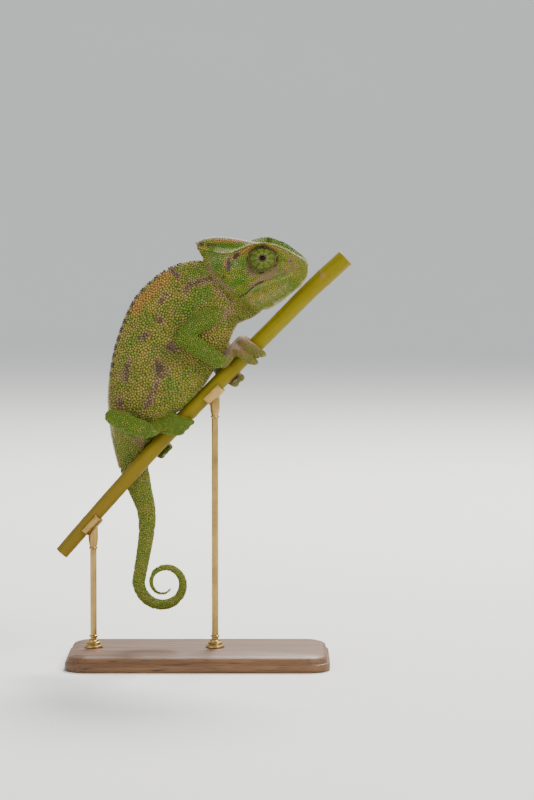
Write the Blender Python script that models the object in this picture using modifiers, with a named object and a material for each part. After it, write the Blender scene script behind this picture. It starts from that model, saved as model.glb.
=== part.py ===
"""A Mediterranean chameleon climbing a cut length of stem, on a small display stand.

The solids of a life-size still model. Each named part of the body is one closed solid, and
neighbours are parted by a thin gap. The animal faces +X with its back to -X, its right side
is towards -Y, and the stand's underside lies on z = 0. Sizes are in millimetres here, and
MM turns them into Blender's metres.
"""

import math

import bmesh
import bpy
import numpy as np
from mathutils import Matrix, Vector

MM = 0.001
GAP = 0.3  # between two solids that touch
OVERSHOOT = 6.0  # how far a cutter reaches past what it cuts
WRIST_REACH = 9.0  # how far from a wrist its parting plane cuts
FOLD_REACH = 18.0  # the same for an elbow, a knee and a palm
MERGE = 1e-6  # metres, under which two points of a mesh are one
SHARPEST_SHELL = 1.3  # limits how far a sharp corner moves when a shape is grown

# The stem: points of its centre line in the XZ plane, from the low end to the high end.
STEM_LINE = (
    (-52.0, 42.2),
    (-36.8, 59.6),
    (-14.7, 84.2),
    (1.3, 100.7),
    (16.3, 115.9),
    (31.4, 131.0),
    (43.5, 143.2),
    (56.0, 154.6),
)
STEM_RADIUS_LOW = 2.65
STEM_RADIUS_HIGH = 3.45

# The body from inside the head to the last straight of the tail. Each station gives the
# back's point, the belly's point, half the width and how far the middle lies to the left.
BODY_STATIONS = {
    "skull_base": ((6.5, 151.0), (27.0, 140.0), 5.8, 0.0),
    "nape": ((0.8, 153.8), (25.8, 135.9), 7.4, 0.0),
    "neck": ((-5.6, 153.0), (20.6, 131.9), 7.8, 0.0),
    "withers": ((-12.2, 150.4), (15.2, 129.6), 8.2, 0.0),
    "shoulder": ((-18.6, 145.5), (12.8, 125.0), 8.6, 0.0),
    "chest": ((-24.1, 139.6), (11.0, 120.4), 9.0, 0.0),
    "ribs": ((-28.4, 130.8), (8.4, 115.6), 9.4, 0.0),
    "middle": ((-31.6, 121.2), (5.2, 110.6), 9.7, 0.0),
    "belly": ((-33.4, 112.0), (1.8, 105.4), 9.8, 0.0),
    "paunch": ((-34.2, 104.2), (-2.9, 100.0), 9.4, 0.0),
    "loin": ((-34.2, 98.4), (-9.0, 95.2), 8.3, 0.3),
    "hips": ((-33.7, 92.8), (-15.8, 91.0), 6.8, 0.9),
    "vent": ((-33.1, 87.2), (-18.6, 85.4), 5.7, 2.4),
    "rump": ((-31.9, 80.7), (-19.4, 79.4), 4.8, 5.0),
    "tail_root": ((-30.2, 73.7), (-18.9, 73.6), 4.1, 6.7),
    "tail_upper": ((-27.1, 65.4), (-17.9, 66.6), 3.6, 7.0),
    "tail_middle": ((-23.6, 57.6), (-16.4, 58.6), 3.1, 6.6),
    "tail_lower": ((-23.1, 50.0), (-16.6, 50.4), 2.8, 6.2),
    "tail_bend": ((-23.9, 42.0), (-18.3, 41.0), 2.6, 5.9),
}
RINGS_PER_STATION = 2
BODY_SIDES = 20
CURL_SIDES = 12
KEEL = 0.34  # how much narrower the back is than the belly

# The curled end of the tail: a flat spiral that closes towards the belly side.
CURL_CENTRE = (-13.2, 30.2)
CURL_START_RADIUS = 9.9
CURL_END_RADIUS = 3.1
CURL_TURNS = 1.42
CURL_START_DEPTH = 5.2
CURL_TIP_DEPTH = 0.8
CURL_CLOSING = 0.9  # the powers with which the spiral closes and the tail thins
CURL_THINNING = 0.85
CURL_HALF_WIDTH = 0.46  # half its width over its depth
CURL_SIDE = (5.6, 2.2)  # how far left the curl's start and its tip lie
CURL_RINGS = 32

# Where the body is parted, as station names.
BODY_PARTS = (
    ("neck", "skull_base", "withers"),
    ("trunk", "withers", "hips"),
    ("pelvis", "hips", "tail_root"),
    ("tail_1", "tail_root", "tail_lower"),
)
CURL_PARTS = (("tail_2", 0.0, 0.34), ("tail_3", 0.34, 0.68), ("tail_4", 0.68, 1.0))

# The head: its own frame has the neck joint at the origin, +X to the snout, and half
# widths in Y. Each line runs over the skull from the snout to the back of the head.
HEAD_ORIGIN = (9.5, 0.0, 150.5)
HEAD_TURN = math.radians(-9.0)  # towards the right side
HEAD_ROLL = math.radians(7.0)
HEAD_STATIONS = 22
SNOUT_EASING = 0.45  # how much closer the first stations lie
SNOUT_TIP = (32.9, 0.0, 1.6)
SKULL_LINES = {
    "crest": (
        (32.3, 0.0, 3.2), (28.0, 0.0, 5.4), (23.0, 0.0, 7.6), (18.0, 0.0, 9.0),
        (14.0, 0.0, 9.6), (10.5, 0.0, 10.2), (6.5, 0.0, 11.1), (2.0, 0.0, 11.8),
        (-2.5, 0.0, 12.0), (-7.0, 0.0, 11.4), (-10.3, 0.0, 9.8),
    ),
    "crest_side": (
        (32.2, 0.7, 3.3), (28.0, 1.3, 5.4), (23.0, 1.8, 7.6), (18.0, 2.0, 9.0),
        (14.0, 1.8, 9.6), (10.5, 1.3, 10.0), (6.5, 1.0, 10.5), (2.0, 0.9, 11.1),
        (-2.5, 0.9, 11.3), (-7.0, 0.8, 10.8), (-10.2, 0.7, 9.5),
    ),
    "crest_foot": (
        (32.0, 1.1, 3.4), (28.0, 2.0, 5.7), (23.0, 3.0, 8.0), (18.0, 4.0, 9.3),
        (14.0, 4.4, 9.7), (10.5, 3.8, 9.3), (6.5, 3.0, 8.7), (2.0, 2.5, 8.5),
        (-2.5, 2.1, 8.7), (-7.0, 1.5, 9.0), (-10.1, 0.9, 9.1),
    ),
    "brow_ridge": (
        (31.6, 1.7, 3.6), (28.0, 3.3, 6.3), (23.0, 5.1, 9.5), (18.0, 6.8, 11.0),
        (14.5, 7.5, 11.2), (11.2, 7.6, 10.3), (7.8, 7.3, 8.8), (4.2, 6.8, 7.4),
        (0.0, 5.6, 7.1), (-5.0, 3.6, 7.7), (-10.0, 1.3, 8.7),
    ),
    "under_ridge": (
        (31.8, 2.2, 2.6), (28.0, 3.9, 4.6), (23.0, 5.4, 7.4), (18.0, 6.4, 8.8),
        (14.5, 6.7, 9.0), (11.2, 7.2, 8.0), (7.8, 7.9, 6.2), (4.2, 7.9, 5.0),
        (0.0, 6.9, 4.8), (-4.0, 4.8, 5.4), (-7.6, 2.6, 4.4),
    ),
    "temple": (
        (32.1, 2.5, 1.6), (28.0, 4.6, 2.4), (23.0, 5.7, 3.0), (18.0, 6.2, 3.2),
        (14.0, 6.8, 2.8), (10.0, 8.3, 2.0), (6.0, 9.5, 1.2), (2.0, 9.4, 0.8),
        (-1.5, 8.0, 0.4), (-4.6, 6.0, -0.2),
    ),
    "cheek": (
        (32.3, 2.6, 1.2), (28.0, 5.0, 1.7), (23.0, 6.5, 1.0), (18.0, 7.5, -0.6),
        (14.0, 8.8, -2.0), (10.0, 9.9, -3.2), (6.0, 10.2, -4.2), (2.0, 9.4, -4.8),
        (-1.6, 7.8, -4.8),
    ),
}
MOUTH_LINE = (
    (32.5, 2.3, 0.6), (30.5, 4.0, 0.9), (27.8, 5.0, 0.3), (24.5, 6.0, -0.5),
    (21.2, 7.0, -2.0), (17.2, 8.0, -3.3), (14.6, 8.6, -4.3), (12.6, 9.0, -5.9),
    (10.2, 9.2, -8.0), (8.2, 9.1, -8.9), (6.0, 8.8, -9.4),
)
JAW_LINES = {
    "jaw_side": (
        (31.9, 2.1, -2.0), (28.0, 4.4, -3.6), (24.0, 5.5, -5.8), (20.0, 6.6, -8.0),
        (17.0, 7.2, -9.6), (14.0, 7.6, -11.0), (8.5, 7.6, -11.9),
    ),
    "chin_edge": (
        (31.6, 1.3, -3.9), (28.0, 2.7, -6.9), (24.0, 3.5, -9.8), (20.0, 3.9, -12.4),
        (17.0, 4.1, -14.0), (12.5, 4.4, -14.6),
    ),
    "keel": (
        (31.4, 0.0, -4.5), (30.0, 0.0, -6.5), (26.6, 0.0, -9.0), (22.8, 0.0, -12.0),
        (19.0, 0.0, -14.5), (16.0, 0.0, -15.8),
    ),
}
CHIN_TIP = (32.4, 0.0, -2.0)
# The casque is parted from the skull by a plane through these two points of the head.
CASQUE_CUT_FRONT = (9.6, 7.7)
CASQUE_CUT_BACK = (-9.0, 4.3)
CASQUE_CUT_HEIGHT = 18.0

# The eye: a turret of fused lids round a pinhole, with the eyeball just inside it.
EYE_PLACE = (16.0, 5.4, 4.4)
EYE_AIM = (0.17, 0.94, 0.27)
EYE_SQUASH = 0.88  # its height over its width
TURRET_PROFILE = (  # radius and height over the socket, from the pinhole's floor outwards
    (0.0, 4.1), (0.75, 4.15), (1.05, 4.55), (1.15, 5.15), (1.55, 5.35), (2.4, 5.05),
    (3.5, 4.25), (4.5, 2.9), (5.15, 1.5), (5.4, 0.2), (5.3, -1.0), (0.0, -1.0),
)
TURRET_STEPS = 24
EYEBALL_RADIUS = 0.78
EYEBALL_HEIGHT = 5.05
SOCKET_RADIUS = 5.8
SOCKET_DEPTH = 2.1
SOCKET_TAPER = 0.55

# Limbs: joint centres with the flesh radius there. Right limbs are nearer -Y.
LIMBS = {
    "right": {
        "upper_arm": (
            ((5.6, -5.4, 133.4), 4.1), ((-0.8, -9.6, 129.6), 3.8), ((-5.0, -12.4, 125.8), 2.9),
        ),
        "forearm": (
            ((-5.2, -12.6, 125.0), 3.4), ((1.4, -10.4, 120.5), 3.5), ((9.4, -5.8, 115.2), 2.8),
        ),
        "thigh": (
            ((-24.5, -2.6, 90.4), 4.4), ((-28.6, -7.8, 93.0), 3.9), ((-32.2, -11.4, 95.4), 2.7),
        ),
        "shin": (
            ((-32.4, -11.8, 95.3), 3.1), ((-26.0, -12.0, 92.4), 3.5), ((-18.4, -8.4, 89.4), 3.3),
        ),
    },
    "left": {
        "upper_arm": (
            ((5.6, 5.4, 133.4), 4.1), ((-0.6, 9.8, 128.6), 3.8), ((-4.6, 12.8, 123.9), 2.9),
        ),
        "forearm": (
            ((-4.8, 13.0, 123.2), 3.4), ((0.8, 12.2, 118.2), 3.4), ((7.2, 10.0, 112.8), 2.7),
        ),
        "thigh": (
            ((-24.5, 5.0, 90.2), 4.4), ((-28.6, 10.4, 91.4), 3.9), ((-31.8, 14.2, 92.4), 2.7),
        ),
        "shin": (
            ((-32.0, 14.6, 92.2), 3.1), ((-25.4, 14.6, 88.2), 3.3), ((-17.8, 10.6, 85.0), 2.8),
        ),
    },
}
LIMB_BEVEL = 3  # a bevel resolution, so a limb has 2 * (3 + 2) sides
TOE_BEVEL = 2
CLAW_BEVEL = 1
PATH_STEPS = 3  # from knot to knot
ROUND_END_SHARES = (0.5, 0.85, 0.97)  # of the radius, where a round end has its rings

# Feet: x is where each one grips the stem, palm the angle from the stem's top to its palm
# (towards the left) and drift how far up the stem the toes slant. Turn is how far round from
# the palm the toes reach, spacing how far apart they lie and stout how thick they are, both
# for the mitt on the animal's outer side and the inner one.
FEET = {
    "hand_right": {
        "limb": ("right", "forearm"), "x": 19.2, "palm": -4.0, "drift": 2.6,
        "outer": {"toes": 2, "turn": 150.0, "spacing": 4.2, "stout": 1.14},
        "inner": {"toes": 3, "turn": 120.0, "spacing": 2.3, "stout": 1.0},
    },
    "hand_left": {
        "limb": ("left", "forearm"), "x": 11.5, "palm": 88.0, "drift": 1.6,
        "outer": {"toes": 2, "turn": 100.0, "spacing": 3.0, "stout": 1.0},
        "inner": {"toes": 3, "turn": 72.0, "spacing": 2.2, "stout": 1.0},
    },
    "foot_right": {
        "limb": ("right", "shin"), "x": -8.8, "palm": -14.0, "drift": 6.0,
        "outer": {"toes": 3, "turn": 118.0, "spacing": 2.7, "stout": 1.1},
        "inner": {"toes": 2, "turn": 112.0, "spacing": 2.7, "stout": 1.0},
    },
    "foot_left": {
        "limb": ("left", "shin"), "x": -15.6, "palm": 64.0, "drift": 1.0,
        "outer": {"toes": 3, "turn": 92.0, "spacing": 2.2, "stout": 1.0},
        "inner": {"toes": 2, "turn": 76.0, "spacing": 2.4, "stout": 1.0},
    },
}
TOE_RADII = (2.4, 2.3, 1.95, 1.85, 1.75, 1.55, 1.25)  # at the wrist, the palm and then the shares
TOE_SHARES = (0.2, 0.42, 0.63, 0.83, 1.0)  # of a toe's turn round the stem
TOE_DRIFT_START = 0.45  # the share of its turn at which a toe has no drift
PALM_TURN = 8.0
PALM_LIFT = 1.9
PALM_SPREAD = 0.7  # how much of the toes' spacing the palm has
PALM_DRIFT = 0.55  # how much of the drift it goes back
WRIST_SPREAD = 0.5
CLAW_LENGTH = 2.1
CLAW_START = 0.4  # beyond a toe's last knot
CLAW_HOOK = 0.5
CLAW_RADIUS = 0.5
CLAW_SHARES = ((0.0, 1.0), (0.55, 0.8), (1.0, 0.45))  # of its length and of its radius
MITT_VOXEL = 0.42
MITT_TRIANGLES = 220

# The stand.
BASE_SIZE = (100.0, 54.0, 6.0)
BASE_EDGE = 1.6
BASE_CORNER = 9.0
POSTS = {"stand_post_low": -40.0, "stand_post_high": 6.4}  # by the stem's x over each
POST_RADIUS = 1.3
POST_SIDES = 16
CRADLE_SIDES = 24
POST_FOOT_RADIUS = 3.0
POST_FOOT_HEIGHT = 1.6
CRADLE_WALL = 0.9
CRADLE_LENGTH = 5.0
CRADLE_RIM = 0.2  # above the stem's middle

PAINT = {  # base colour, roughness, metallic
    "skin": ((0.176, 0.157, 0.040), 0.62, 0.0),
    "green_skin": ((0.127, 0.194, 0.030), 0.62, 0.0),
    "brown_skin": ((0.195, 0.130, 0.045), 0.62, 0.0),
    "eye": ((0.012, 0.010, 0.008), 0.08, 0.0),
    "stem": ((0.270, 0.235, 0.012), 0.55, 0.0),
    "wood": ((0.085, 0.045, 0.024), 0.42, 0.0),
    "brass": ((0.560, 0.420, 0.180), 0.32, 1.0),
}


def clear_scene():
    """Removes whatever the file opened with."""
    for obj in list(bpy.data.objects):
        bpy.data.objects.remove(obj, do_unlink=True)


def collection(name):
    """A new collection in the scene."""
    made = bpy.data.collections.new(name)
    bpy.context.scene.collection.children.link(made)
    return made


def paint(name):
    """The named material, made when it is first asked for."""
    if name in bpy.data.materials:
        return bpy.data.materials[name]
    colour, roughness, metallic = PAINT[name]
    material = bpy.data.materials.new(name)
    material.use_nodes = True
    shader = material.node_tree.nodes["Principled BSDF"]
    shader.inputs["Base Color"].default_value = (*colour, 1.0)
    shader.inputs["Roughness"].default_value = roughness
    shader.inputs["Metallic"].default_value = metallic
    return material


class Workshop:
    """Holds the two collections, and turns meshes into named parts, cutters and cuts."""

    def __init__(self):
        self.parts = collection("chameleon_on_stem")
        self.cutters = collection("cutters")

    def add(self, name, mesh, finish):
        """A part from a bmesh in millimetres."""
        data = bpy.data.meshes.new(name)
        bmesh.ops.recalc_face_normals(mesh, faces=mesh.faces)
        bmesh.ops.scale(mesh, vec=Vector((MM, MM, MM)), verts=mesh.verts)
        mesh.to_mesh(data)
        mesh.free()
        data.shade_smooth()
        data.materials.append(paint(finish))
        obj = bpy.data.objects.new(name, data)
        self.parts.objects.link(obj)
        return obj

    def outwards(self, obj):
        """Turns the faces of a closed mesh outwards and smooths them."""
        mesh = bmesh.new()
        mesh.from_mesh(obj.data)
        bmesh.ops.recalc_face_normals(mesh, faces=mesh.faces)
        mesh.to_mesh(obj.data)
        mesh.free()
        obj.data.shade_smooth()
        return obj

    def joined(self, name, pieces):
        """One object of several overlapping pieces, which a voxel remesh then makes one solid."""
        mesh = bmesh.new()
        for piece in pieces:
            mesh.from_mesh(piece.data)
            bpy.data.objects.remove(piece, do_unlink=True)
        bmesh.ops.scale(mesh, vec=Vector((1, 1, 1)) / MM, verts=mesh.verts)
        return self.add(name, mesh, "brown_skin")

    def as_cutter(self, obj):
        """Moves an object out of the model, where it only guides a cut."""
        self.parts.objects.unlink(obj)
        self.cutters.objects.link(obj)
        obj.hide_render = True
        obj.display_type = "WIRE"
        return obj

    def bake(self, obj):
        """The object with its modifiers turned into plain mesh."""
        graph = bpy.context.evaluated_depsgraph_get()
        data = bpy.data.meshes.new_from_object(obj.evaluated_get(graph))
        obj.modifiers.clear()
        obj.data = data
        return obj

    def grown(self, obj, by=GAP):
        """A cutter that is the object's shape, larger by the gap all over."""
        self.bake(obj)
        data = obj.data.copy()
        mesh = bmesh.new()
        mesh.from_mesh(data)
        mesh.normal_update()
        for vert in mesh.verts:
            vert.co += vert.normal * min(vert.calc_shell_factor(), SHARPEST_SHELL) * by * MM
        mesh.to_mesh(data)
        mesh.free()
        cutter = bpy.data.objects.new(obj.name + "_room", data)
        self.parts.objects.link(cutter)
        return self.as_cutter(cutter)

    def boolean(self, obj, cutter, operation):
        """Adds one Boolean step and turns it into mesh."""
        step = obj.modifiers.new(cutter.name[:50], "BOOLEAN")
        step.operation = operation
        step.object = cutter
        step.solver = "EXACT"
        step.use_self = True
        return self.bake(obj)

    def clear_of(self, obj, *neighbours):
        """Cuts the object back so that the gap parts it from each neighbour."""
        for neighbour in neighbours:
            self.boolean(obj, self.grown(neighbour), "DIFFERENCE")
        return self.keep_largest(obj)

    def keep_largest(self, obj):
        """Drops the crumbs that a cut can leave beside the main body."""
        mesh = bmesh.new()
        mesh.from_mesh(obj.data)
        left, bodies = set(mesh.faces), []
        while left:
            body, todo = [], [left.pop()]
            while todo:
                face = todo.pop()
                body.append(face)
                pairs = [edge.link_faces for edge in face.edges if len(edge.link_faces) == 2]
                beside = {other for pair in pairs for other in pair if other in left}
                left -= beside
                todo.extend(beside)
            bodies.append(body)
        bodies.sort(key=len)
        for body in bodies[:-1]:
            bmesh.ops.delete(mesh, geom=body, context="FACES")
        mesh.to_mesh(obj.data)
        mesh.free()
        return obj


def through(knots, steps):
    """Points on a Catmull-Rom curve through the knots, with this many steps from knot to knot."""
    p = np.array(knots, float)
    p = np.vstack([2 * p[0] - p[1], p, 2 * p[-1] - p[-2]])
    found = []
    for i in range(1, len(p) - 2):
        for t in np.arange(steps) / steps:
            found.append(catmull_rom(p[i - 1 : i + 3], t))
    found.append(p[-2])
    return np.array(found)


def catmull_rom(four, t):
    """The point a share t of the way from the second of four knots to the third."""
    a, b, c, d = four
    square, cube = 2 * a - 5 * b + 4 * c - d, 3 * b - a - 3 * c + d
    return 0.5 * (2 * b + (c - a) * t + square * t**2 + cube * t**3)


def along(knots, shares):
    """Points at these shares of the way, by x, on a smooth curve through knots of falling x."""
    fine = through(knots, 12)
    reach = (fine[0, 0] - fine[:, 0]) / (fine[0, 0] - fine[-1, 0])
    reach = np.maximum.accumulate(reach)
    return np.column_stack([np.interp(shares, reach, fine[:, k]) for k in range(3)])


def loft(rings, first_tip=None, last_tip=None):
    """A bmesh skinned over equal rings of points, closed at each end by a fan to a tip point."""
    mesh = bmesh.new()
    loops = [[mesh.verts.new(point) for point in ring] for ring in rings]
    for one, two in zip(loops, loops[1:]):
        for k in range(len(one)):
            after = (k + 1) % len(one)
            mesh.faces.new((one[k], one[after], two[after], two[k]))
    for loop, ring, tip in ((loops[0], rings[0], first_tip), (loops[-1], rings[-1], last_tip)):
        centre = mesh.verts.new(np.mean(ring, axis=0) if tip is None else tip)
        for k in range(len(loop)):
            mesh.faces.new((loop[k], loop[(k + 1) % len(loop)], centre))
    return mesh


def body_ring(station, sides=BODY_SIDES):
    """The cross-section at a station: back point, belly point, half width, shift to the left."""
    back, belly = np.array(station[0:2]), np.array(station[2:4])
    half_width, shift = station[4:6]
    middle, reach = (back + belly) / 2, (back - belly) / 2
    ring = []
    for k in range(sides):
        turn = 2 * math.pi * k / sides
        height = math.cos(turn)
        width = math.sin(turn) * (1 - KEEL * (0.5 + 0.5 * height) ** 2) * half_width
        place = middle + reach * height
        ring.append((place[0], shift + width, place[1]))
    return ring


def flat_station(station):
    """A station of BODY_STATIONS as one row of six numbers."""
    (back, belly, half_width, shift) = station
    return (*back, *belly, half_width, shift)


def curl_station(share):
    """The station at this share of the tail's curl. The back is on the spiral's outer side."""
    turn = math.pi + 2 * math.pi * CURL_TURNS * share
    closing, thinning = share**CURL_CLOSING, share**CURL_THINNING
    radius = CURL_START_RADIUS + (CURL_END_RADIUS - CURL_START_RADIUS) * closing
    depth = CURL_START_DEPTH + (CURL_TIP_DEPTH - CURL_START_DEPTH) * thinning
    outwards = np.array((math.cos(turn), math.sin(turn)))
    middle = np.array(CURL_CENTRE) + radius * outwards
    shift = CURL_SIDE[0] + (CURL_SIDE[1] - CURL_SIDE[0]) * share
    back, belly = middle + outwards * depth / 2, middle - outwards * depth / 2
    return (*back, *belly, depth * CURL_HALF_WIDTH, shift)


def part_stations(stations, first, last, gap_before, gap_after):
    """The rows from first to last, with half a gap taken off the ends that meet a neighbour."""
    rows = stations[first : last + 1].copy()
    for end, inner, cut in ((0, 1, gap_before), (-1, -2, gap_after)):
        if cut:
            step = np.linalg.norm(rows[end, :4] - rows[inner, :4]) / math.sqrt(2)
            rows[end] += (rows[inner] - rows[end]) * (GAP / 2) / step
    return rows


def make_body(shop):
    """Neck, trunk, pelvis and the lengths of the tail, as lofts over one line of stations."""
    names = list(BODY_STATIONS)
    knots = [flat_station(s) for s in BODY_STATIONS.values()]
    knots.append(curl_station(0.0))
    rows = through(knots, RINGS_PER_STATION)
    made = {}
    for name, first, last in BODY_PARTS:
        start, end = (names.index(s) * RINGS_PER_STATION for s in (first, last))
        taken = part_stations(rows, start, end, first != "skull_base", True)
        made[name] = shop.add(name, loft([body_ring(r) for r in taken]), "skin")
    lower = rows[names.index("tail_lower") * RINGS_PER_STATION : -1]
    curl = [curl_station(k / (CURL_RINGS - 1)) for k in range(CURL_RINGS)]
    tail = np.vstack([lower, curl])
    for name, first, last in CURL_PARTS:
        start, end = (round(s * (len(tail) - 1)) for s in (first, last))
        taken = part_stations(tail, start, end, True, last < 1.0)
        made[name] = shop.add(name, loft([body_ring(r, CURL_SIDES) for r in taken]), "skin")
    return made


def head_matrix():
    """Places the head's own frame in the model, turned and rolled a little to the right."""
    turn = Matrix.Rotation(HEAD_TURN, 4, "Z") @ Matrix.Rotation(HEAD_ROLL, 4, "X")
    return Matrix.Translation(Vector(HEAD_ORIGIN)) @ turn


def head_shares():
    """Where the rings of the head lie from the snout to the back, closer at the snout."""
    even = np.linspace(0, 1, HEAD_STATIONS)
    eased = 1 - np.cos(even * math.pi / 2)
    return SNOUT_EASING * eased + (1 - SNOUT_EASING) * even


def head_rings(outer_lines, middle_top, middle_bottom):
    """Rings of a form that is the same left and right, from lines on its right side.

    The lines run from the top of the right side to its bottom. The two middle lines close
    the ring where it crosses the plane of symmetry.
    """
    rings = []
    for k in range(HEAD_STATIONS):
        right = [line[k] * (1, -1, 1) for line in outer_lines]
        left = [line[k] for line in reversed(outer_lines)]
        rings.append([middle_top[k], *right, middle_bottom[k], *left])
    return rings


def make_skull(shop):
    """The head above the mouth, and the casque that is parted from it."""
    shares = head_shares()
    lines = [along(points, shares) for points in SKULL_LINES.values()]
    lip = along(MOUTH_LINE, shares) + (0, 0, GAP / 2)
    palate = lip * (1, 0, 1)
    rings = head_rings([*lines[1:], lip], lines[0], palate)
    back = (np.array(rings[-1][0]) + np.array(rings[-1][len(lines)])) / 2
    mesh = loft(rings, first_tip=SNOUT_TIP, last_tip=back * (1, 0, 1))
    skull = shop.add("head", mesh, "green_skin")
    casque = shop.add("casque", bmesh_of(skull), "green_skin")
    for obj, side in ((skull, "DIFFERENCE"), (casque, "INTERSECT")):
        shop.boolean(obj, casque_cutter(shop, side), side)
    return skull, casque


def bmesh_of(obj):
    """A bmesh of the object's mesh, back in millimetres."""
    mesh = bmesh.new()
    mesh.from_mesh(obj.data)
    bmesh.ops.scale(mesh, vec=Vector((1, 1, 1)) / MM, verts=mesh.verts)
    return mesh


def casque_cutter(shop, side):
    """A block over the plane that parts the casque, set half a gap off it."""
    front, back = Vector(CASQUE_CUT_FRONT), Vector(CASQUE_CUT_BACK)
    run = front - back
    up = Vector((-run.y, run.x)).normalized()
    offset = GAP / 2 * (1 if side == "INTERSECT" else -1)
    ends = (back - run.normalized() * OVERSHOOT, front)
    low = [e + up * offset for e in ends]
    high = [e + up * (offset + CASQUE_CUT_HEIGHT) for e in ends]
    outline = [low[0], low[1], high[1], high[0]]
    rings = [[(p.x, y, p.y) for p in outline] for y in (-2 * OVERSHOOT, 2 * OVERSHOOT)]
    return shop.as_cutter(shop.add("casque_cut_" + side.lower(), loft(rings), "skin"))


def make_jaw(shop):
    """The lower jaw, from the lower lip to the keel of the throat."""
    shares = head_shares()
    lip = along(MOUTH_LINE, shares) - (0, 0, GAP / 2)
    side, edge, keel = (along(points, shares) for points in JAW_LINES.values())
    floor = lip * (1, 0, 1)
    rings = head_rings([lip, side, edge], floor, keel)
    return shop.add("lower_jaw", loft(rings, first_tip=CHIN_TIP), "green_skin")


def eye_matrix(side):
    """The frame of one eye, with +Z along its gaze. Side is -1 on the right and 1 on the left."""
    aim = Vector(EYE_AIM) * Vector((1, side, 1))
    place = Vector(EYE_PLACE) * Vector((1, side, 1))
    squash = Matrix.Diagonal((1, EYE_SQUASH, 1, 1))
    return Matrix.Translation(place) @ aim.to_track_quat("Z", "Y").to_matrix().to_4x4() @ squash


def make_socket(shop, name, frame):
    """The cutter of an eye socket: a cone that widens outwards."""
    socket = bmesh.new()
    bmesh.ops.create_cone(
        socket, cap_ends=True, segments=TURRET_STEPS, radius1=SOCKET_RADIUS - SOCKET_TAPER,
        radius2=SOCKET_RADIUS + 2 * SOCKET_TAPER, depth=SOCKET_DEPTH + OVERSHOOT,
        matrix=frame @ Matrix.Translation((0, 0, OVERSHOOT / 2 - SOCKET_DEPTH / 2)),
    )
    return shop.as_cutter(shop.add(name, socket, "skin"))


def make_turret(shop, name, frame):
    """The lids of an eye, turned from their profile."""
    profile = bmesh.new()
    points = [profile.verts.new((radius, 0, height)) for radius, height in reversed(TURRET_PROFILE)]
    for one, two in zip(points, points[1:]):
        profile.edges.new((one, two))
    turret = shop.add(name, profile, "green_skin")
    screw = turret.modifiers.new("turned", "SCREW")
    screw.steps = screw.render_steps = TURRET_STEPS
    screw.use_merge_vertices = True
    screw.merge_threshold = MERGE
    shop.bake(turret)
    shop.outwards(turret)
    turret.data.transform(in_metres(frame))
    return turret


def make_eyeball(shop, name, frame):
    """The eyeball where it shows in the pinhole."""
    ball = bmesh.new()
    bmesh.ops.create_uvsphere(
        ball, u_segments=10, v_segments=6, radius=EYEBALL_RADIUS,
        matrix=frame @ Matrix.Translation((0, 0, EYEBALL_HEIGHT)),
    )
    return shop.add(name, ball, "eye")


def make_eyes(shop, skull):
    """Each side's socket in the skull, its turret of lids and the eyeball in the pinhole."""
    turrets, balls = [], []
    for label, side in (("right", -1), ("left", 1)):
        frame = eye_matrix(side)
        shop.boolean(skull, make_socket(shop, "socket_" + label, frame), "DIFFERENCE")
        turrets.append(make_turret(shop, "eye_turret_" + label, frame))
        balls.append(make_eyeball(shop, "eye_" + label, frame))
    return turrets, balls


def tube(shop, name, knots, radii, finish, bevel=LIMB_BEVEL, steps=PATH_STEPS, round_ends=True):
    """A solid tube through the knots, as a bevelled curve turned into mesh.

    radii are the tube's radii at the knots. A round end adds points whose radius shrinks.
    """
    path = through([(*point, radius) for point, radius in zip(knots, radii)], steps)
    if round_ends:
        path = np.vstack([end_cap(path[0], path[1])[::-1], path, end_cap(path[-1], path[-2])])
    curve = bpy.data.curves.new(name, "CURVE")
    curve.dimensions = "3D"
    curve.bevel_depth = MM
    curve.bevel_resolution = bevel
    curve.use_fill_caps = True
    spline = curve.splines.new("POLY")
    spline.points.add(len(path) - 1)
    for point, (x, y, z, radius) in zip(spline.points, path):
        point.co = (x * MM, y * MM, z * MM, 1.0)
        point.radius = radius
    guide = bpy.data.objects.new(name + "_curve", curve)
    shop.cutters.objects.link(guide)
    graph = bpy.context.evaluated_depsgraph_get()
    data = bpy.data.meshes.new_from_object(guide.evaluated_get(graph))
    bpy.data.objects.remove(guide, do_unlink=True)
    mesh = bmesh.new()
    mesh.from_mesh(data)
    bmesh.ops.remove_doubles(mesh, verts=mesh.verts, dist=MERGE)
    bmesh.ops.scale(mesh, vec=Vector((1, 1, 1)) / MM, verts=mesh.verts)
    return shop.add(name, mesh, finish)


def end_cap(last, before):
    """Path points beyond the last one that close a tube with a round end."""
    point, radius = last[:3], last[3]
    onwards = (point - before[:3]) / np.linalg.norm(point - before[:3])
    cap = []
    for share in ROUND_END_SHARES:
        reach = point + onwards * radius * share
        cap.append((*reach, radius * math.sqrt(1 - share**2)))
    return np.array(cap)


def make_limbs(shop):
    """The two long parts of every leg."""
    made = {}
    for label, bones in LIMBS.items():
        for bone, joints in bones.items():
            name = f"{bone}_{label}"
            knots, radii = zip(*joints)
            made[name] = tube(shop, name, knots, radii, "skin")
    return made


def stem_points(steps=3):
    """The stem's centre line and its radii."""
    line = through(STEM_LINE, steps)
    shares = np.linspace(0, 1, len(line))
    radii = STEM_RADIUS_LOW + (STEM_RADIUS_HIGH - STEM_RADIUS_LOW) * shares
    return np.column_stack([line[:, 0], np.zeros(len(line)), line[:, 1]]), radii


def stem_at(x):
    """(centre, direction, radius) of the stem where its centre line has this x."""
    points, radii = stem_points()
    centre = np.array([np.interp(x, points[:, 0], points[:, k]) for k in range(3)])
    ahead = np.array([np.interp(x + 1.0, points[:, 0], points[:, k]) for k in range(3)])
    direction = (ahead - centre) / np.linalg.norm(ahead - centre)
    return centre, direction, float(np.interp(x, points[:, 0], radii))


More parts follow.
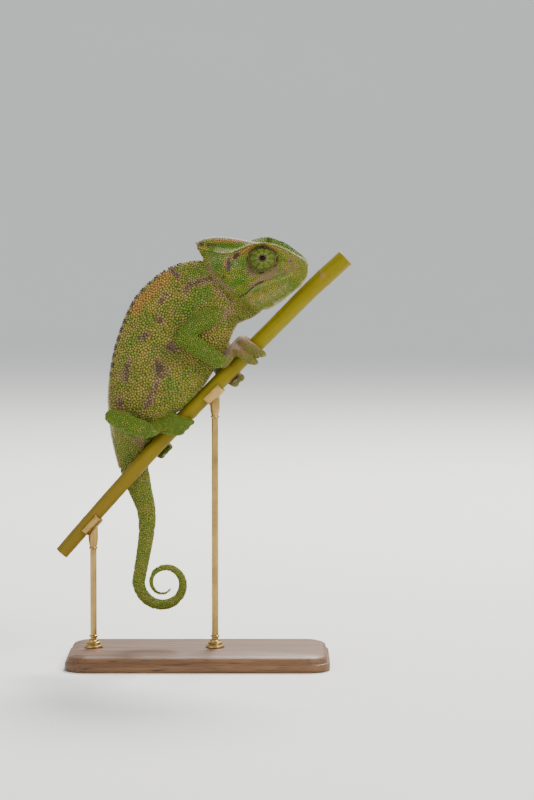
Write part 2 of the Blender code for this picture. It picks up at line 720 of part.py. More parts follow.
def make_stem(shop):
    """The perch, cut square at both ends."""
    points, radii = stem_points()
    return tube(shop, "perch", points, radii, "stem", steps=1, round_ends=False)


def around_stem(axis, degrees):
    """The direction out of the stem at this angle from its top, towards the left."""
    angle = math.radians(degrees)
    top = np.array((-axis[2], 0.0, axis[0]))
    return math.cos(angle) * top + math.sin(angle) * np.array((0.0, 1.0, 0.0))


def toe_path(grip, wrist, side, offset, facts, mitt):
    """A toe's knots from the wrist over the palm and round the stem, and then its claw's.

    Args are the grip's (centre, direction, radius), the wrist, which way round the stem the
    toe goes, its offset along the stem, and the foot's and the mitt's entries in FEET.
    """
    centre, axis, radius = grip

    def around(turn, lift, ahead):
        outwards = around_stem(axis, facts["palm"] + side * turn)
        return centre + outwards * (radius + lift) + axis * ahead

    drift = facts["drift"]
    palm = around(PALM_TURN, PALM_LIFT, offset * PALM_SPREAD - drift * PALM_DRIFT)
    root = wrist + np.cross(around_stem(axis, facts["palm"]), axis) * side * WRIST_SPREAD
    knots = [root, palm]
    for share, thick in zip(TOE_SHARES, TOE_RADII[2:]):
        spread = offset + drift * (share - TOE_DRIFT_START)
        lift = GAP + thick * mitt["stout"]
        knots.append(around(mitt["turn"] * share, lift, spread))
    tip, tangent = knots[-1], knots[-1] - knots[-2]
    tangent = tangent / np.linalg.norm(tangent)
    inwards = centre + axis * ((tip - centre) @ axis) - tip
    inwards = inwards / np.linalg.norm(inwards)
    claw = []
    for share, _ in CLAW_SHARES:
        onwards = tangent * (CLAW_START + CLAW_LENGTH * share)
        claw.append(tip + onwards + inwards * CLAW_HOOK * share**2)
    return knots, claw


def make_mitt(shop, name, grip, wrist, side, facts, mitt):
    """One bundle of fused toes with its claws, grown together into one solid."""
    pieces = []
    toes = mitt["toes"]
    for k in range(toes):
        offset = (k - (toes - 1) / 2) * mitt["spacing"]
        knots, claw = toe_path(grip, wrist, side, offset, facts, mitt)
        toe_radii = [*TOE_RADII[:2], *(radius * mitt["stout"] for radius in TOE_RADII[2:])]
        claw_radii = [CLAW_RADIUS * share for _, share in CLAW_SHARES]
        pieces.append(tube(shop, f"{name}_toe_{k}", knots, toe_radii, "brown_skin", TOE_BEVEL))
        pieces.append(tube(shop, f"{name}_claw_{k}", claw, claw_radii, "brown_skin", CLAW_BEVEL))
    whole = shop.joined(name, pieces)
    remesh = whole.modifiers.new("grown_together", "REMESH")
    remesh.mode = "VOXEL"
    remesh.voxel_size = MITT_VOXEL * MM
    shop.bake(whole)
    thin = whole.modifiers.new("fewer_faces", "DECIMATE")
    thin.ratio = MITT_TRIANGLES / sum(len(p.vertices) - 2 for p in whole.data.polygons)
    return shop.bake(whole)


def make_feet(shop):
    """Two mitts for every foot, by foot and then by their side of the stem, left being 1."""
    made = {}
    for foot, facts in FEET.items():
        label, bone = facts["limb"]
        wrist = np.array(LIMBS[label][bone][-1][0])
        own_side = -1 if label == "right" else 1
        grip = stem_at(facts["x"])
        made[foot] = {}
        for mitt, side in (("outer", own_side), ("inner", -own_side)):
            name = f"{foot}_{mitt}"
            made[foot][side] = make_mitt(shop, name, grip, wrist, side, facts, facts[mitt])
    return made


def cylinder_between(low, high, radius, segments):
    """A bmesh cylinder from one point to another."""
    low, high = Vector(low), Vector(high)
    mesh = bmesh.new()
    turn = (high - low).to_track_quat("Z", "Y").to_matrix().to_4x4()
    bmesh.ops.create_cone(
        mesh, cap_ends=True, segments=segments, radius1=radius, radius2=radius,
        depth=(high - low).length, matrix=Matrix.Translation((low + high) / 2) @ turn,
    )
    return mesh


def make_base(shop):
    """A flat plinth with round corners and an eased top edge."""
    length, width, height = BASE_SIZE
    mesh = bmesh.new()
    bmesh.ops.create_cube(mesh, size=1.0)
    bmesh.ops.scale(mesh, vec=Vector(BASE_SIZE), verts=mesh.verts)
    bmesh.ops.translate(mesh, vec=Vector((0, 0, height / 2)), verts=mesh.verts)
    upright = [e for e in mesh.edges if abs(e.verts[0].co.z - e.verts[1].co.z) > height / 2]
    bmesh.ops.bevel(
        mesh, geom=upright, offset=BASE_CORNER, segments=5, profile=0.5, affect="EDGES"
    )
    rim = [e for e in mesh.edges if all(v.co.z > height * 0.99 for v in e.verts)]
    bmesh.ops.bevel(mesh, geom=rim, offset=BASE_EDGE, segments=2, profile=0.5, affect="EDGES")
    return shop.add("stand_base", mesh, "wood")


def make_post(shop, name, x, stem):
    """A rod on a small foot, with a half-round cradle under the stem."""
    centre, axis, radius = stem_at(x)
    ground = BASE_SIZE[2] + GAP
    half = axis * CRADLE_LENGTH / 2
    low, top = (x, 0, ground), (x, 0, ground + POST_FOOT_HEIGHT)
    post = shop.add(name, cylinder_between(low, centre, POST_RADIUS, POST_SIDES), "brass")
    disc = cylinder_between(low, top, POST_FOOT_RADIUS, CRADLE_SIDES)
    reach = radius + GAP + CRADLE_WALL
    shell = cylinder_between(centre - half, centre + half, reach, CRADLE_SIDES)
    for label, mesh in (("_disc", disc), ("_cradle", shell)):
        shop.boolean(post, shop.as_cutter(shop.add(name + label, mesh, "brass")), "UNION")
    shop.boolean(post, open_top_cutter(shop, name + "_open_top", centre, axis), "DIFFERENCE")
    return shop.clear_of(post, stem)


def open_top_cutter(shop, name, centre, axis):
    """A cube that takes away the upper half of a cradle."""
    size = 4 * OVERSHOOT
    turn = Vector(axis).to_track_quat("X", "Z").to_matrix().to_4x4()
    lift = Matrix.Translation((0, 0, size / 2 + CRADLE_RIM))
    block = bmesh.new()
    bmesh.ops.create_cube(block, size=size, matrix=Matrix.Translation(centre) @ turn @ lift)
    return shop.as_cutter(shop.add(name, block, "brass"))


def in_metres(matrix):
    """A placement in millimetres as one for meshes in metres."""
    return Matrix.Scale(MM, 4) @ matrix @ Matrix.Scale(1 / MM, 4)


def make_head(shop):
    """The skull, the casque, the jaw and the eyes, built in the head's frame and placed."""
    skull, casque = make_skull(shop)
    jaw = make_jaw(shop)
    turrets, balls = make_eyes(shop, skull)
    for piece in (skull, casque, jaw, *turrets, *balls):
        piece.data.transform(in_metres(head_matrix()))
    return skull, casque, jaw


def beyond(shop, name, point, normal, reach):
    """A cube on the far side of a plane, which it crosses by half a gap."""
    normal = Vector(normal).normalized()
    turn = normal.to_track_quat("Z", "Y").to_matrix().to_4x4()
    lift = Matrix.Translation((0, 0, reach - GAP / 2))
    block = bmesh.new()
    bmesh.ops.create_cube(block, size=2 * reach, matrix=Matrix.Translation(point) @ turn @ lift)
    return shop.as_cutter(shop.add(name, block, "skin"))


def part_at(shop, label, point, normal, before, after, reach=FOLD_REACH):
    """Parts two sets of solids at a plane, so that only the gap is between them."""
    for objects, way in ((before, 1), (after, -1)):
        for obj in objects:
            cutter = beyond(shop, f"{label}_{obj.name}", point, Vector(normal) * way, reach)
            shop.boolean(obj, cutter, "DIFFERENCE")


def unit(run):
    """The direction of a vector."""
    return run / np.linalg.norm(run)


def part_limbs(shop, limbs, mitts, body, stem):
    """Parts each leg at its elbow or knee and at its wrist, and clears the body and the stem."""
    for foot, facts in FEET.items():
        label, lower = facts["limb"]
        upper = {"forearm": "upper_arm", "shin": "thigh"}[lower]
        joints = [np.array(point) for point, _ in LIMBS[label][upper] + LIMBS[label][lower]]
        elbow = (joints[2] + joints[3]) / 2
        fold = unit(joints[2] - joints[1]) + unit(joints[4] - joints[3])
        arm, forearm = limbs[f"{upper}_{label}"], limbs[f"{lower}_{label}"]
        pair = mitts[foot]
        part_at(shop, "joint", elbow, fold, [arm], [forearm])
        last_run = joints[5] - joints[4]
        part_at(shop, "wrist", joints[5], last_run, [forearm], pair.values(), WRIST_REACH)
        centre, axis, _ = stem_at(facts["x"])
        across = np.cross(around_stem(axis, facts["palm"]), axis)
        part_at(shop, "palm", centre, across, [pair[-1]], [pair[1]])
        for mitt in pair.values():
            shop.clear_of(mitt, stem, *body[1:])
        shop.clear_of(arm, *body)
        shop.clear_of(forearm, stem, *body[1:])


def main():
    """Builds every part, then parts the neighbours from each other."""
    clear_scene()
    shop = Workshop()
    stem = make_stem(shop)
    head = make_head(shop)
    body = make_body(shop)
    shop.clear_of(body["neck"], *head)
    for name in ("trunk", "pelvis", "tail_1"):
        shop.clear_of(body[name], stem)
    flesh = [body[name] for name in ("neck", "trunk", "pelvis")]
    part_limbs(shop, make_limbs(shop), make_feet(shop), flesh, stem)
    make_base(shop)
    for name, x in POSTS.items():
        make_post(shop, name, x, stem)


main()
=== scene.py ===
import heapq
import logging
import math
from dataclasses import dataclass, field
from enum import Enum
from typing import ClassVar

import bpy
import numpy as np
from mathutils import Matrix, Vector
from mathutils.bvhtree import BVHTree
from mathutils.kdtree import KDTree


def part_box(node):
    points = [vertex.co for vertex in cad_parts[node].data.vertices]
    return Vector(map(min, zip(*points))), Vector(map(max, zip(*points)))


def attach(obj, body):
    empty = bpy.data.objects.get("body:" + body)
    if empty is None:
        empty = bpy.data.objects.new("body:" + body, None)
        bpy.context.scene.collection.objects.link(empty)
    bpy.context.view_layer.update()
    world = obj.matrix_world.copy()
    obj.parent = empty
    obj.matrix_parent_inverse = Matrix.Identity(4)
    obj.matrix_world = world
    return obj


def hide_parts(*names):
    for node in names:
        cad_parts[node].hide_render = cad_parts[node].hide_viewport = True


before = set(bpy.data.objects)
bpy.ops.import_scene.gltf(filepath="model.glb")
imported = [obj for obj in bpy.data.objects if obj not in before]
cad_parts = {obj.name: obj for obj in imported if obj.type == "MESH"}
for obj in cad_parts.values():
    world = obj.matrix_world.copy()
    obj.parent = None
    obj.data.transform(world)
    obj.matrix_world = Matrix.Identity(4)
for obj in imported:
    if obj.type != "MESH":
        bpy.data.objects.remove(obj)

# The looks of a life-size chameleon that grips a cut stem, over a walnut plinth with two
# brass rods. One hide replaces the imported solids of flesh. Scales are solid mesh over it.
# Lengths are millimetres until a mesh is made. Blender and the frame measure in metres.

log = logging.getLogger("chameleon")
norm = np.linalg.norm

MM = 0.001
SEED = 41
ROW_PITCH = 0.866  # of the scales' spacing, from one staggered row to the next
TINY = 1e-9

Array = np.ndarray
Line = tuple[tuple[float, ...], ...]
Colour = tuple[float, float, float]
Place = tuple[float, float, float]
Socket = bpy.types.NodeSocket
Node = bpy.types.Node
Object = bpy.types.Object
Material = bpy.types.Material


class Slot(Enum):
    """The record's material slots."""

    SKIN = "skin"
    EYE = "eye"
    STEM = "stem"
    WOOD = "wood"
    BRASS = "brass"


class Tint(Enum):
    """The colours that the markings lay over the hide's ground colour, by their channel."""

    TAN = 0
    GREEN = 1
    DARK = 2
    PALE = 3
    PINK = 4
    ORANGE = 5


class Part(Enum):
    """The regions of the body that have markings of their own."""

    HEAD = ("head", "casque", "lower_jaw", "eye_turret")
    BODY = ("neck", "trunk", "pelvis")
    TAIL = ("tail",)
    LIMB = ("upper_arm", "forearm", "thigh", "shin")
    FOOT = ("hand", "foot")


# ---- places in the model

HEAD_ORIGIN = (9.5, 0.0, 150.5)
HEAD_TURN = math.radians(-9.0)
HEAD_ROLL = math.radians(7.0)
EYE_PLACE = (16.0, 5.4, 4.4)
EYE_AIM = (0.17, 0.94, 0.27)
EYE_SQUASH = 0.88
TURRET_PROFILE = ((0.0, 5.3), (1.3, 5.35), (2.4, 5.05), (3.5, 4.25), (4.5, 2.9), (5.15, 1.5), (5.6, 0.2))

# Lines of the head, in its own frame, on the side where y is positive.
BROW = (
    (31.6, 1.7, 3.6), (28.0, 3.3, 6.3), (23.0, 5.1, 9.5), (18.0, 6.8, 11.0), (14.5, 7.5, 11.2),
    (11.2, 7.6, 10.3), (7.8, 7.3, 8.8), (4.2, 6.8, 7.4), (0.0, 5.6, 7.1), (-5.0, 3.6, 7.7),
    (-10.0, 1.3, 8.7),
)
POSTORBITAL = ((11.6, 7.5, 9.6), (9.0, 7.7, 7.6), (6.0, 8.2, 5.8), (3.8, 8.6, 4.2), (2.8, 9.0, 2.2))
CASQUE_CREST = (
    (14.0, 0.0, 9.6), (10.5, 0.0, 10.2), (6.5, 0.0, 11.1), (2.0, 0.0, 11.8), (-2.5, 0.0, 12.0),
    (-7.0, 0.0, 11.4), (-10.3, 0.0, 9.8),
)
MOUTH = (
    (32.5, 2.3, 0.6), (30.5, 4.0, 0.9), (27.8, 5.0, 0.3), (24.5, 6.0, -0.5), (21.2, 7.0, -2.0),
    (17.2, 8.0, -3.3), (14.6, 8.6, -4.3), (12.6, 9.0, -5.9), (10.2, 9.2, -8.0), (8.2, 9.1, -8.9),
    (6.0, 8.8, -9.4),
)
UNDER_EYE = ((9.6, 9.2, 2.4), (11.2, 9.4, -0.4), (15.0, 8.8, -1.9), (19.2, 7.6, -1.1), (22.0, 6.6, 1.0))
CHEEK_FOLD = ((4.6, 10.0, -3.2), (8.4, 10.2, -4.6), (11.6, 9.4, -4.9))
JAW_FOLD = ((2.2, 9.0, -4.0), (5.4, 8.8, -8.0), (8.6, 7.2, -11.2), (13.0, 5.6, -13.4))
NECK_FOLD = ((-5.6, 6.6, 1.6), (-3.0, 7.8, -0.6), (-0.8, 8.6, -3.6), (1.6, 8.6, -7.0), (5.0, 7.0, -11.0))
THROAT_KEEL = (
    (31.4, 0.0, -4.5), (30.0, 0.0, -6.5), (26.6, 0.0, -9.0), (22.8, 0.0, -12.0), (19.0, 0.0, -14.5),
    (16.0, 0.0, -15.8),
)
NOSTRIL = (26.7, 4.9, 3.7)
SNOUT_TIP = (32.9, 0.0, 1.6)

# The edges of the body as seen from its side: x and z.
BACK_EDGE = (
    (-5.6, 153.4), (-12.6, 150.7), (-18.8, 145.8), (-24.1, 139.6), (-28.4, 130.8), (-31.6, 121.2),
    (-33.4, 112.0), (-34.2, 104.2), (-34.2, 98.4), (-33.7, 92.8), (-32.7, 87.2), (-31.3, 80.8),
    (-29.4, 73.9),
)
BELLY_EDGE = (
    (25.8, 135.9), (20.6, 131.9), (15.2, 129.6), (12.8, 125.0), (11.0, 120.4), (8.4, 115.6),
    (5.2, 110.6), (1.8, 105.4), (-2.9, 100.0), (-9.0, 95.2),
)

# ---- small tools


def bell(distance: Array, width: float) -> Array:
    """One at distance 0, falling to nothing past about twice the width."""
    return np.exp(-((distance / width) ** 2))


def ramp(value: Array, low: float, high: float) -> Array:
    """A smooth step from 0 at low to 1 at high."""
    share = np.clip((value - low) / (high - low), 0.0, 1.0)
    return share * share * (3.0 - 2.0 * share)


def unit(vectors: Array) -> Array:
    """Each row at length 1."""
    return vectors / np.maximum(norm(vectors, axis=1, keepdims=True), TINY)


def around(count: int) -> Array:
    """Even angles all the way round."""
    return np.arange(count) * (2 * math.pi / count)


def circle(angles: Array) -> Array:
    """The points of a circle of radius 1 at these angles."""
    return np.stack([np.cos(angles), np.sin(angles)], axis=1)


def mirrored(points: Array) -> Array:
    """The points of both sides laid on the side where y is positive."""
    return points * (1, 0, 1) + np.abs(points) * (0, 1, 0)


def line_distance(points: Array, line: Line) -> Array:
    """How far each point is from an open line, in two or three dimensions.

    Args:
        points: one row for each point.
        line: the line's corners.

    Returns:
        The distances.
    """
    knots = np.array(line, float)
    best = np.full(len(points), np.inf)
    for start, end in zip(knots, knots[1:]):
        run = end - start
        share = np.clip((points - start) @ run / (run @ run), 0.0, 1.0)
        best = np.minimum(best, norm(points - start - share[:, None] * run, axis=1))
    return best


def run_lengths(points: Array) -> Array:
    """How far along a line each of its points lies."""
    return np.concatenate([[0.0], np.cumsum(norm(np.diff(points, axis=0), axis=1))])


def between(at: Array | float, places: Array, rows: Array) -> Array:
    """The rows that lie at other places than the given ones."""
    return np.stack([np.interp(at, places, column) for column in rows.T], axis=-1)


def spaced(line: Line, pitch: float) -> Array:
    """Points along a line at an even pitch."""
    knots = np.array(line, float)
    lengths = run_lengths(knots)
    return between(np.arange(pitch / 2, lengths[-1], pitch), lengths, knots)


def mottle(points: Array, size: float, seed: int) -> Array:
    """Smooth random values from 0 to 1 that change over about the given size.

    Args:
        points: one row for each point.
        size: the size of a blot.
        seed: tells one field from another.

    Returns:
        One value for each point.
    """
    cells = points / size
    base = np.floor(cells).astype(np.int64)
    part = cells - base
    part = part * part * (3.0 - 2.0 * part)
    total = np.zeros(len(points))
    for corner in np.ndindex(2, 2, 2):
        at = base + corner
        mixed = (at[:, 0] * 73856093) ^ (at[:, 1] * 19349663) ^ (at[:, 2] * 83492791) ^ (seed * 2654435)
        mixed = (mixed ^ (mixed >> 13)) * 1274126177
        value = ((mixed >> 7) & 0xFFFF) / 65535.0
        share = np.where(np.array(corner) == 1, part, 1.0 - part).prod(axis=1)
        total += value * share
    return total


def head_matrix() -> Matrix:
    """Places the head's own frame in the model."""
    turn = Matrix.Rotation(HEAD_TURN, 4, "Z") @ Matrix.Rotation(HEAD_ROLL, 4, "X")
    return Matrix.Translation(Vector(HEAD_ORIGIN)) @ turn


def eye_matrix(side: int) -> Matrix:
    """The frame of one eye in the model, with +Z along its gaze. The right side is -1."""
    aim = Vector(EYE_AIM) * Vector((1, side, 1))
    place = Vector(EYE_PLACE) * Vector((1, side, 1))
    squash = Matrix.Diagonal((1, EYE_SQUASH, 1, 1))
    gaze = aim.to_track_quat("Z", "Y").to_matrix().to_4x4()
    return head_matrix() @ Matrix.Translation(place) @ gaze @ squash


def moved(points: Array, matrix: Matrix) -> Array:
    """The points after a matrix."""
    numbers = np.array(matrix)
    return points @ numbers[:3, :3].T + numbers[:3, 3]


def brow_at(x: Array, axis: int) -> Array:
    """How far out, on axis 1, or how high, on axis 2, the brow is at each x of the head."""
    knots = np.array(BROW[::-1])
    return np.interp(x, knots[:, 0], knots[:, axis])


def point_normals(points: Array, tris: Array) -> Array:
    """The outward direction at each point of a mesh of triangles."""
    a, b, c = (points[tris[:, k]] for k in range(3))
    flat = np.cross(b - a, c - a)
    total = [sum(np.bincount(tris[:, k], flat[:, j], len(points)) for k in range(3)) for j in range(3)]
    return unit(np.stack(total, axis=1))


def search_tree(points: Array) -> KDTree:
    """A tree that finds the nearest of many points."""
    tree = KDTree(len(points))
    for k, point in enumerate(points.tolist()):
        tree.insert(point, k)
    tree.balance()
    return tree


def mesh_tree(points: Array, tris: Array) -> BVHTree:
    """A tree that finds the nearest place on a mesh of triangles."""
    return BVHTree.FromPolygons(points.tolist(), tris.tolist())


def read(items: bpy.types.bpy_prop_collection, name: str, width: int, kind: type = np.float32) -> Array:
    """One row of numbers for each item of a mesh's data."""
    flat = np.empty(len(items) * width, kind)
    items.foreach_get(name, flat)
    return flat.reshape(-1, width)


def tube_faces(rings: int, steps: int) -> Array:
    """The four-sided faces of a tube whose points come ring by ring.

    Args:
        rings: how many rings it has.
        steps: how many points each ring has.

    Returns:
        One row of point numbers for each face.
    """
    here = np.arange(rings * steps).reshape(rings, steps)
    ahead = np.roll(here, -1, axis=1)
    return np.stack([here[:-1], ahead[:-1], ahead[1:], here[1:]], axis=2).reshape(-1, 4)


def head_points(line: Line | Array, side: int) -> Array:
    """A line of the head, in the model, on one side. The right side is -1."""
    return moved(np.array(line, float) * (1, side, 1), head_matrix())


def new_mesh(name: str, points: Array, faces: Array, smooth: bool = True) -> Object:
    """A mesh object from points in millimetres and faces that all have as many corners.

    Args:
        name: the object's name.
        points: one row for each point.
        faces: one row of point numbers for each face.
        smooth: whether the faces are shaded smooth.

    Returns:
        The object, linked to the scene.
    """
    mesh = bpy.data.meshes.new(name)
    count, corners = faces.shape
    mesh.vertices.add(len(points))
    mesh.vertices.foreach_set("co", (points * MM).astype(np.float32).ravel())
    mesh.loops.add(count * corners)
    mesh.loops.foreach_set("vertex_index", faces.astype(np.int32).ravel())
    mesh.polygons.add(count)
    mesh.polygons.foreach_set("loop_start", np.arange(0, count * corners, corners, dtype=np.int32))
    mesh.polygons.foreach_set("use_smooth", np.full(count, smooth))
    mesh.update(calc_edges=True)
    obj = bpy.data.objects.new(name, mesh)
    bpy.context.scene.collection.objects.link(obj)
    return obj


def set_colours(obj: Object, name: str, values: Array) -> None:
    """Stores four values for each point of an object's mesh."""
    layer = obj.data.attributes.new(name, "FLOAT_COLOR", "POINT")
    layer.data.foreach_set("color", np.clip(values, 0.0, 1.0).astype(np.float32).ravel())


def set_values(obj: Object, name: str, values: Array) -> None:
    """Stores one value for each point of an object's mesh."""
    layer = obj.data.attributes.new(name, "FLOAT", "POINT")
    layer.data.foreach_set("value", values.astype(np.float32))


def finished(obj: Object, material: Material) -> Object:
    """Gives a piece its material and slot, sets it on the frame's body and reports it."""
    obj.data.materials.clear()
    obj.data.materials.append(material)
    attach(obj, "root")
    log.info("%s: %d faces", obj.name, len(obj.data.polygons))
    return obj


def turned(profile: Line, steps: int) -> tuple[Array, Array]:
    """A closed form turned round +Z from (radius, height) points, both ends on the axis.

    Args:
        profile: the points, from the bottom's middle to the top's middle.
        steps: how many sides the form has.

    Returns:
        The points and the four-sided faces.
    """
    ring = circle(around(steps))
    rows = [np.column_stack([ring * radius, np.full(steps, height)]) for radius, height in profile]
    return np.concatenate(rows), tube_faces(len(rows), steps)


# ---- shader tools


class Tree:
    """A node tree with short ways to add nodes and join them."""

    def __init__(self, tree: bpy.types.NodeTree, owner: Material | None = None) -> None:
        """Takes the tree that the nodes go in, and the material that it belongs to."""
        self.tree = tree
        self.owner = owner

    def add(self, kind: str, **settings: object) -> Node:
        """A new node of a kind, with its settings."""
        node = self.tree.nodes.new(kind)
        for name, value in settings.items():
            setattr(node, name, value)
        return node

    def wire(self, node: Node, **inputs: object) -> Node:
        """Feeds a node's inputs by name, with an underscore for each space."""
        for name, value in inputs.items():
            self.feed(node.inputs[name.replace("_", " ")], value)
        return node

    def placed(self, group: str, **inputs: object) -> Node:
        """A shared node group, with its inputs by name."""
        return self.wire(self.add("ShaderNodeGroup", node_tree=bpy.data.node_groups[group]), **inputs)

    def place(self) -> Socket:
        """The place on the object, in metres."""
        return self.add("ShaderNodeTexCoord").outputs["Object"]

    def stored(self, name: str) -> Node:
        """What is stored on the points under a name."""
        return self.add("ShaderNodeAttribute", attribute_name=name)

    def feed(self, socket: Socket, value: object) -> None:
        """Joins a socket to another, or sets it to a plain value."""
        if isinstance(value, Socket):
            self.tree.links.new(value, socket)
        elif isinstance(value, tuple) and len(value) == 3 and socket.type == "RGBA":
            socket.default_value = (*value, 1.0)
        else:
            socket.default_value = value

    def mix(self, share: object, first: object, second: object, blend: str = "MIX") -> Socket:
        """The colour between two colours at a share."""
        node = self.add("ShaderNodeMix", data_type="RGBA", blend_type=blend, clamp_factor=True)
        for slot, given in ((0, share), (6, first), (7, second)):
            self.feed(node.inputs[slot], given)
        return node.outputs[2]

    def calc(self, kind: str, first: object, second: object = 0.0) -> Socket:
        """A Math node's value, of the given kind."""
        node = self.add("ShaderNodeMath", operation=kind)
        self.feed(node.inputs[0], first)
        self.feed(node.inputs[1], second)
        return node.outputs[0]

    def span(self, value: object, low: float, high: float, start: object, end: object) -> Socket:
        """A value moved from one range to another and held there."""
        node = self.add("ShaderNodeMapRange", clamp=True)
        for socket, given in zip(node.inputs, (value, low, high, start, end)):
            self.feed(socket, given)
        return node.outputs[0]

    def noise(self, place: object, scale: object, detail: float = 3.0, rough: float = 0.55) -> Socket:
        """A noise value at a place."""
        node = self.add("ShaderNodeTexNoise")
        return self.wire(node, Vector=place, Scale=scale, Detail=detail, Roughness=rough).outputs["Fac"]

    def stretched(self, place: object, scale: Place, turn: float = 0.0) -> Socket:
        """A place stretched along the axes after a turn about Y."""
        node = self.add("ShaderNodeMapping", vector_type="TEXTURE")
        self.wire(node, Vector=place, Rotation=(0.0, turn, 0.0), Scale=tuple(1.0 / s for s in scale))
        return node.outputs["Vector"]


def new_group(
    name: str, inputs: dict[str, tuple[str, object]], outputs: dict[str, str]
) -> tuple[Tree, dict[str, Socket], dict[str, Socket]]:
    """A shader node group with named inputs and outputs.

    Args:
        name: the group's name.
        inputs: each input's kind, Float, Color or Vector, and its usual value.
        outputs: each output's kind.

    Returns:
        The tree, its inputs' sockets by name and its outputs' sockets by name.
    """
    tree = bpy.data.node_groups.new(name, "ShaderNodeTree")
    for label, (kind, usual) in inputs.items():
        socket = tree.interface.new_socket(label, in_out="INPUT", socket_type="NodeSocket" + kind)
        if kind == "Color":
            socket.default_value = (*usual, 1.0)
        elif kind == "Float":
            socket.default_value = usual
    for label, kind in outputs.items():
        tree.interface.new_socket(label, in_out="OUTPUT", socket_type="NodeSocket" + kind)
    made = Tree(tree)
    entry = made.add("NodeGroupInput")
    result = made.add("NodeGroupOutput")
    return made, {s.name: s for s in entry.outputs if s.name}, {s.name: s for s in result.inputs if s.name}


def fine_grain_group() -> bpy.types.NodeTree:
    """Fine grain: a value that flickers over a small size, for colour, roughness and height."""
    made, inputs, outputs = new_group(
        "fine_grain",
        {"Scale": ("Float", 900.0), "Low": ("Float", 0.0), "High": ("Float", 1.0)},
        {"Value": "Float"},
    )
    value = made.noise(made.place(), inputs["Scale"])
    made.feed(outputs["Value"], made.span(value, 0.3, 0.7, inputs["Low"], inputs["High"]))
    return made.tree


def fibre_group() -> bpy.types.NodeTree:
    """Fibres along a direction in the side view: a streaked value for wood, bark and brushed metal."""
    made, inputs, outputs = new_group(
        "fibres",
        {"Place": ("Vector", None), "Scale": ("Float", 100.0), "Contrast": ("Float", 1.0)},
        {"Value": "Float"},
    )
    broad = made.noise(inputs["Place"], inputs["Scale"], 2.0)
    fine = made.noise(inputs["Place"], made.calc("MULTIPLY", inputs["Scale"], 4.3), 4.0, 0.7)
    both = made.calc("ADD", made.calc("MULTIPLY", broad, 0.6), made.calc("MULTIPLY", fine, 0.4))
    off_middle = made.calc("MULTIPLY", made.calc("SUBTRACT", both, 0.5), inputs["Contrast"])
    clamped = made.add("ShaderNodeClamp")
    made.feed(clamped.inputs[0], made.calc("ADD", off_middle, 0.5))
    made.feed(outputs["Value"], clamped.outputs[0])
    return made.tree


@dataclass(frozen=True)
class Palette:
    """The colours of the living hide."""

    olive: Colour = (0.088, 0.107, 0.003)
    straw: Colour = (0.238, 0.252, 0.016)
    tan: Colour = (0.330, 0.220, 0.050)
    green: Colour = (0.062, 0.172, 0.004)
    dark: Colour = (0.050, 0.026, 0.024)
    pale: Colour = (0.780, 0.710, 0.590)
    pink: Colour = (0.260, 0.150, 0.100)
    orange: Colour = (0.370, 0.180, 0.034)
    # The colour of the shade painted into the gaps between scales.
    gap: Colour = (0.026, 0.016, 0.004)


def hide_group(palette: Palette) -> bpy.types.NodeTree:
    """The hide's colours, from the markings stored on its points: shared by skin and scales. Low on each
    scale and on the skin between scales it paints shade, and on the scales' tops a highlight.

    Args:
        palette: the colours to lay.

    Returns:
        The group. Its outputs are a colour, a roughness and a height.
    """
    made, inputs, outputs = new_group(
        "hide_colour",
        {"Gap Depth": ("Float", 1.0), "Grain": ("Float", 0.5)},
        {"Color": "Color", "Roughness": "Float", "Height": "Float"},
    )
    marks = made.stored("marks")
    tints = made.stored("tints")
    tan, green, dark = made.add("ShaderNodeSeparateColor").outputs[:3]
    made.feed(tan.node.inputs[0], marks.outputs["Color"])
    pink, orange, tone = made.add("ShaderNodeSeparateColor").outputs[:3]
    made.feed(pink.node.inputs[0], tints.outputs["Color"])
    pale, dome = marks.outputs["Alpha"], tints.outputs["Alpha"]
    colour = made.mix(tone, palette.olive, palette.straw)
    for share, over in (
        (tan, palette.tan), (green, palette.green), (orange, palette.orange), (pink, palette.pink),
        (dark, palette.dark), (pale, palette.pale),
    ):
        colour = made.mix(share, colour, over)
    grain = made.placed("fine_grain", Scale=2600.0)
    flicker = made.calc("MULTIPLY", grain.outputs[0], inputs["Grain"])
    colour = made.mix(flicker, colour, made.mix(1.0, colour, (0.55, 0.5, 0.45), "MULTIPLY"))
    # Painted shade: low on each scale, up to 0.62 of its height, the colour darkens towards the gap colour.
    depth = made.calc("MULTIPLY", made.span(dome, 0.0, 0.62, 1.0, 0.0), inputs["Gap Depth"])
    gap_shade_colour = made.mix(0.3, palette.gap, colour)
    colour = made.mix(depth, colour, gap_shade_colour)
    # Painted highlight: the top of each scale is lightened.
    crest = made.span(dome, 0.7, 1.0, 0.0, 0.32)
    colour = made.mix(crest, colour, made.mix(1.0, colour, (1.5, 1.45, 1.4), "MULTIPLY"))
    made.feed(outputs["Color"], colour)
    made.feed(outputs["Roughness"], made.span(dome, 0.0, 1.0, 0.85, 0.42))
    made.feed(outputs["Height"], grain.outputs[0])
    return made.tree


@dataclass(frozen=True)
class HideFinish:
    """The living hide: matt in its gaps and a little glossy on its scales."""

    name: str
    # How strongly shade is painted into the gaps between scales.
    gap_shade_strength: float = 1.0
    grain: float = 0.45
    bump: float = 0.25
    gloss: float = 0.26

    def build(self) -> Material:
        """The material."""
        made, shader = new_material(self.name)
        group = made.placed("hide_colour", Gap_Depth=self.gap_shade_strength, Grain=self.grain)
        colour, rough = group.outputs["Color"], group.outputs["Roughness"]
        made.wire(shader, Base_Color=colour, Roughness=rough, Specular_IOR_Level=self.gloss)
        bumped(made, shader, group.outputs["Height"], self.bump, 0.00004)
        return made.owner


def new_material(name: str) -> tuple[Tree, Node]:
    """A material's tree and its Principled node. The tree keeps the material as its owner."""
    material = bpy.data.materials.new(name)
    material.use_nodes = True
    return Tree(material.node_tree, material), material.node_tree.nodes["Principled BSDF"]


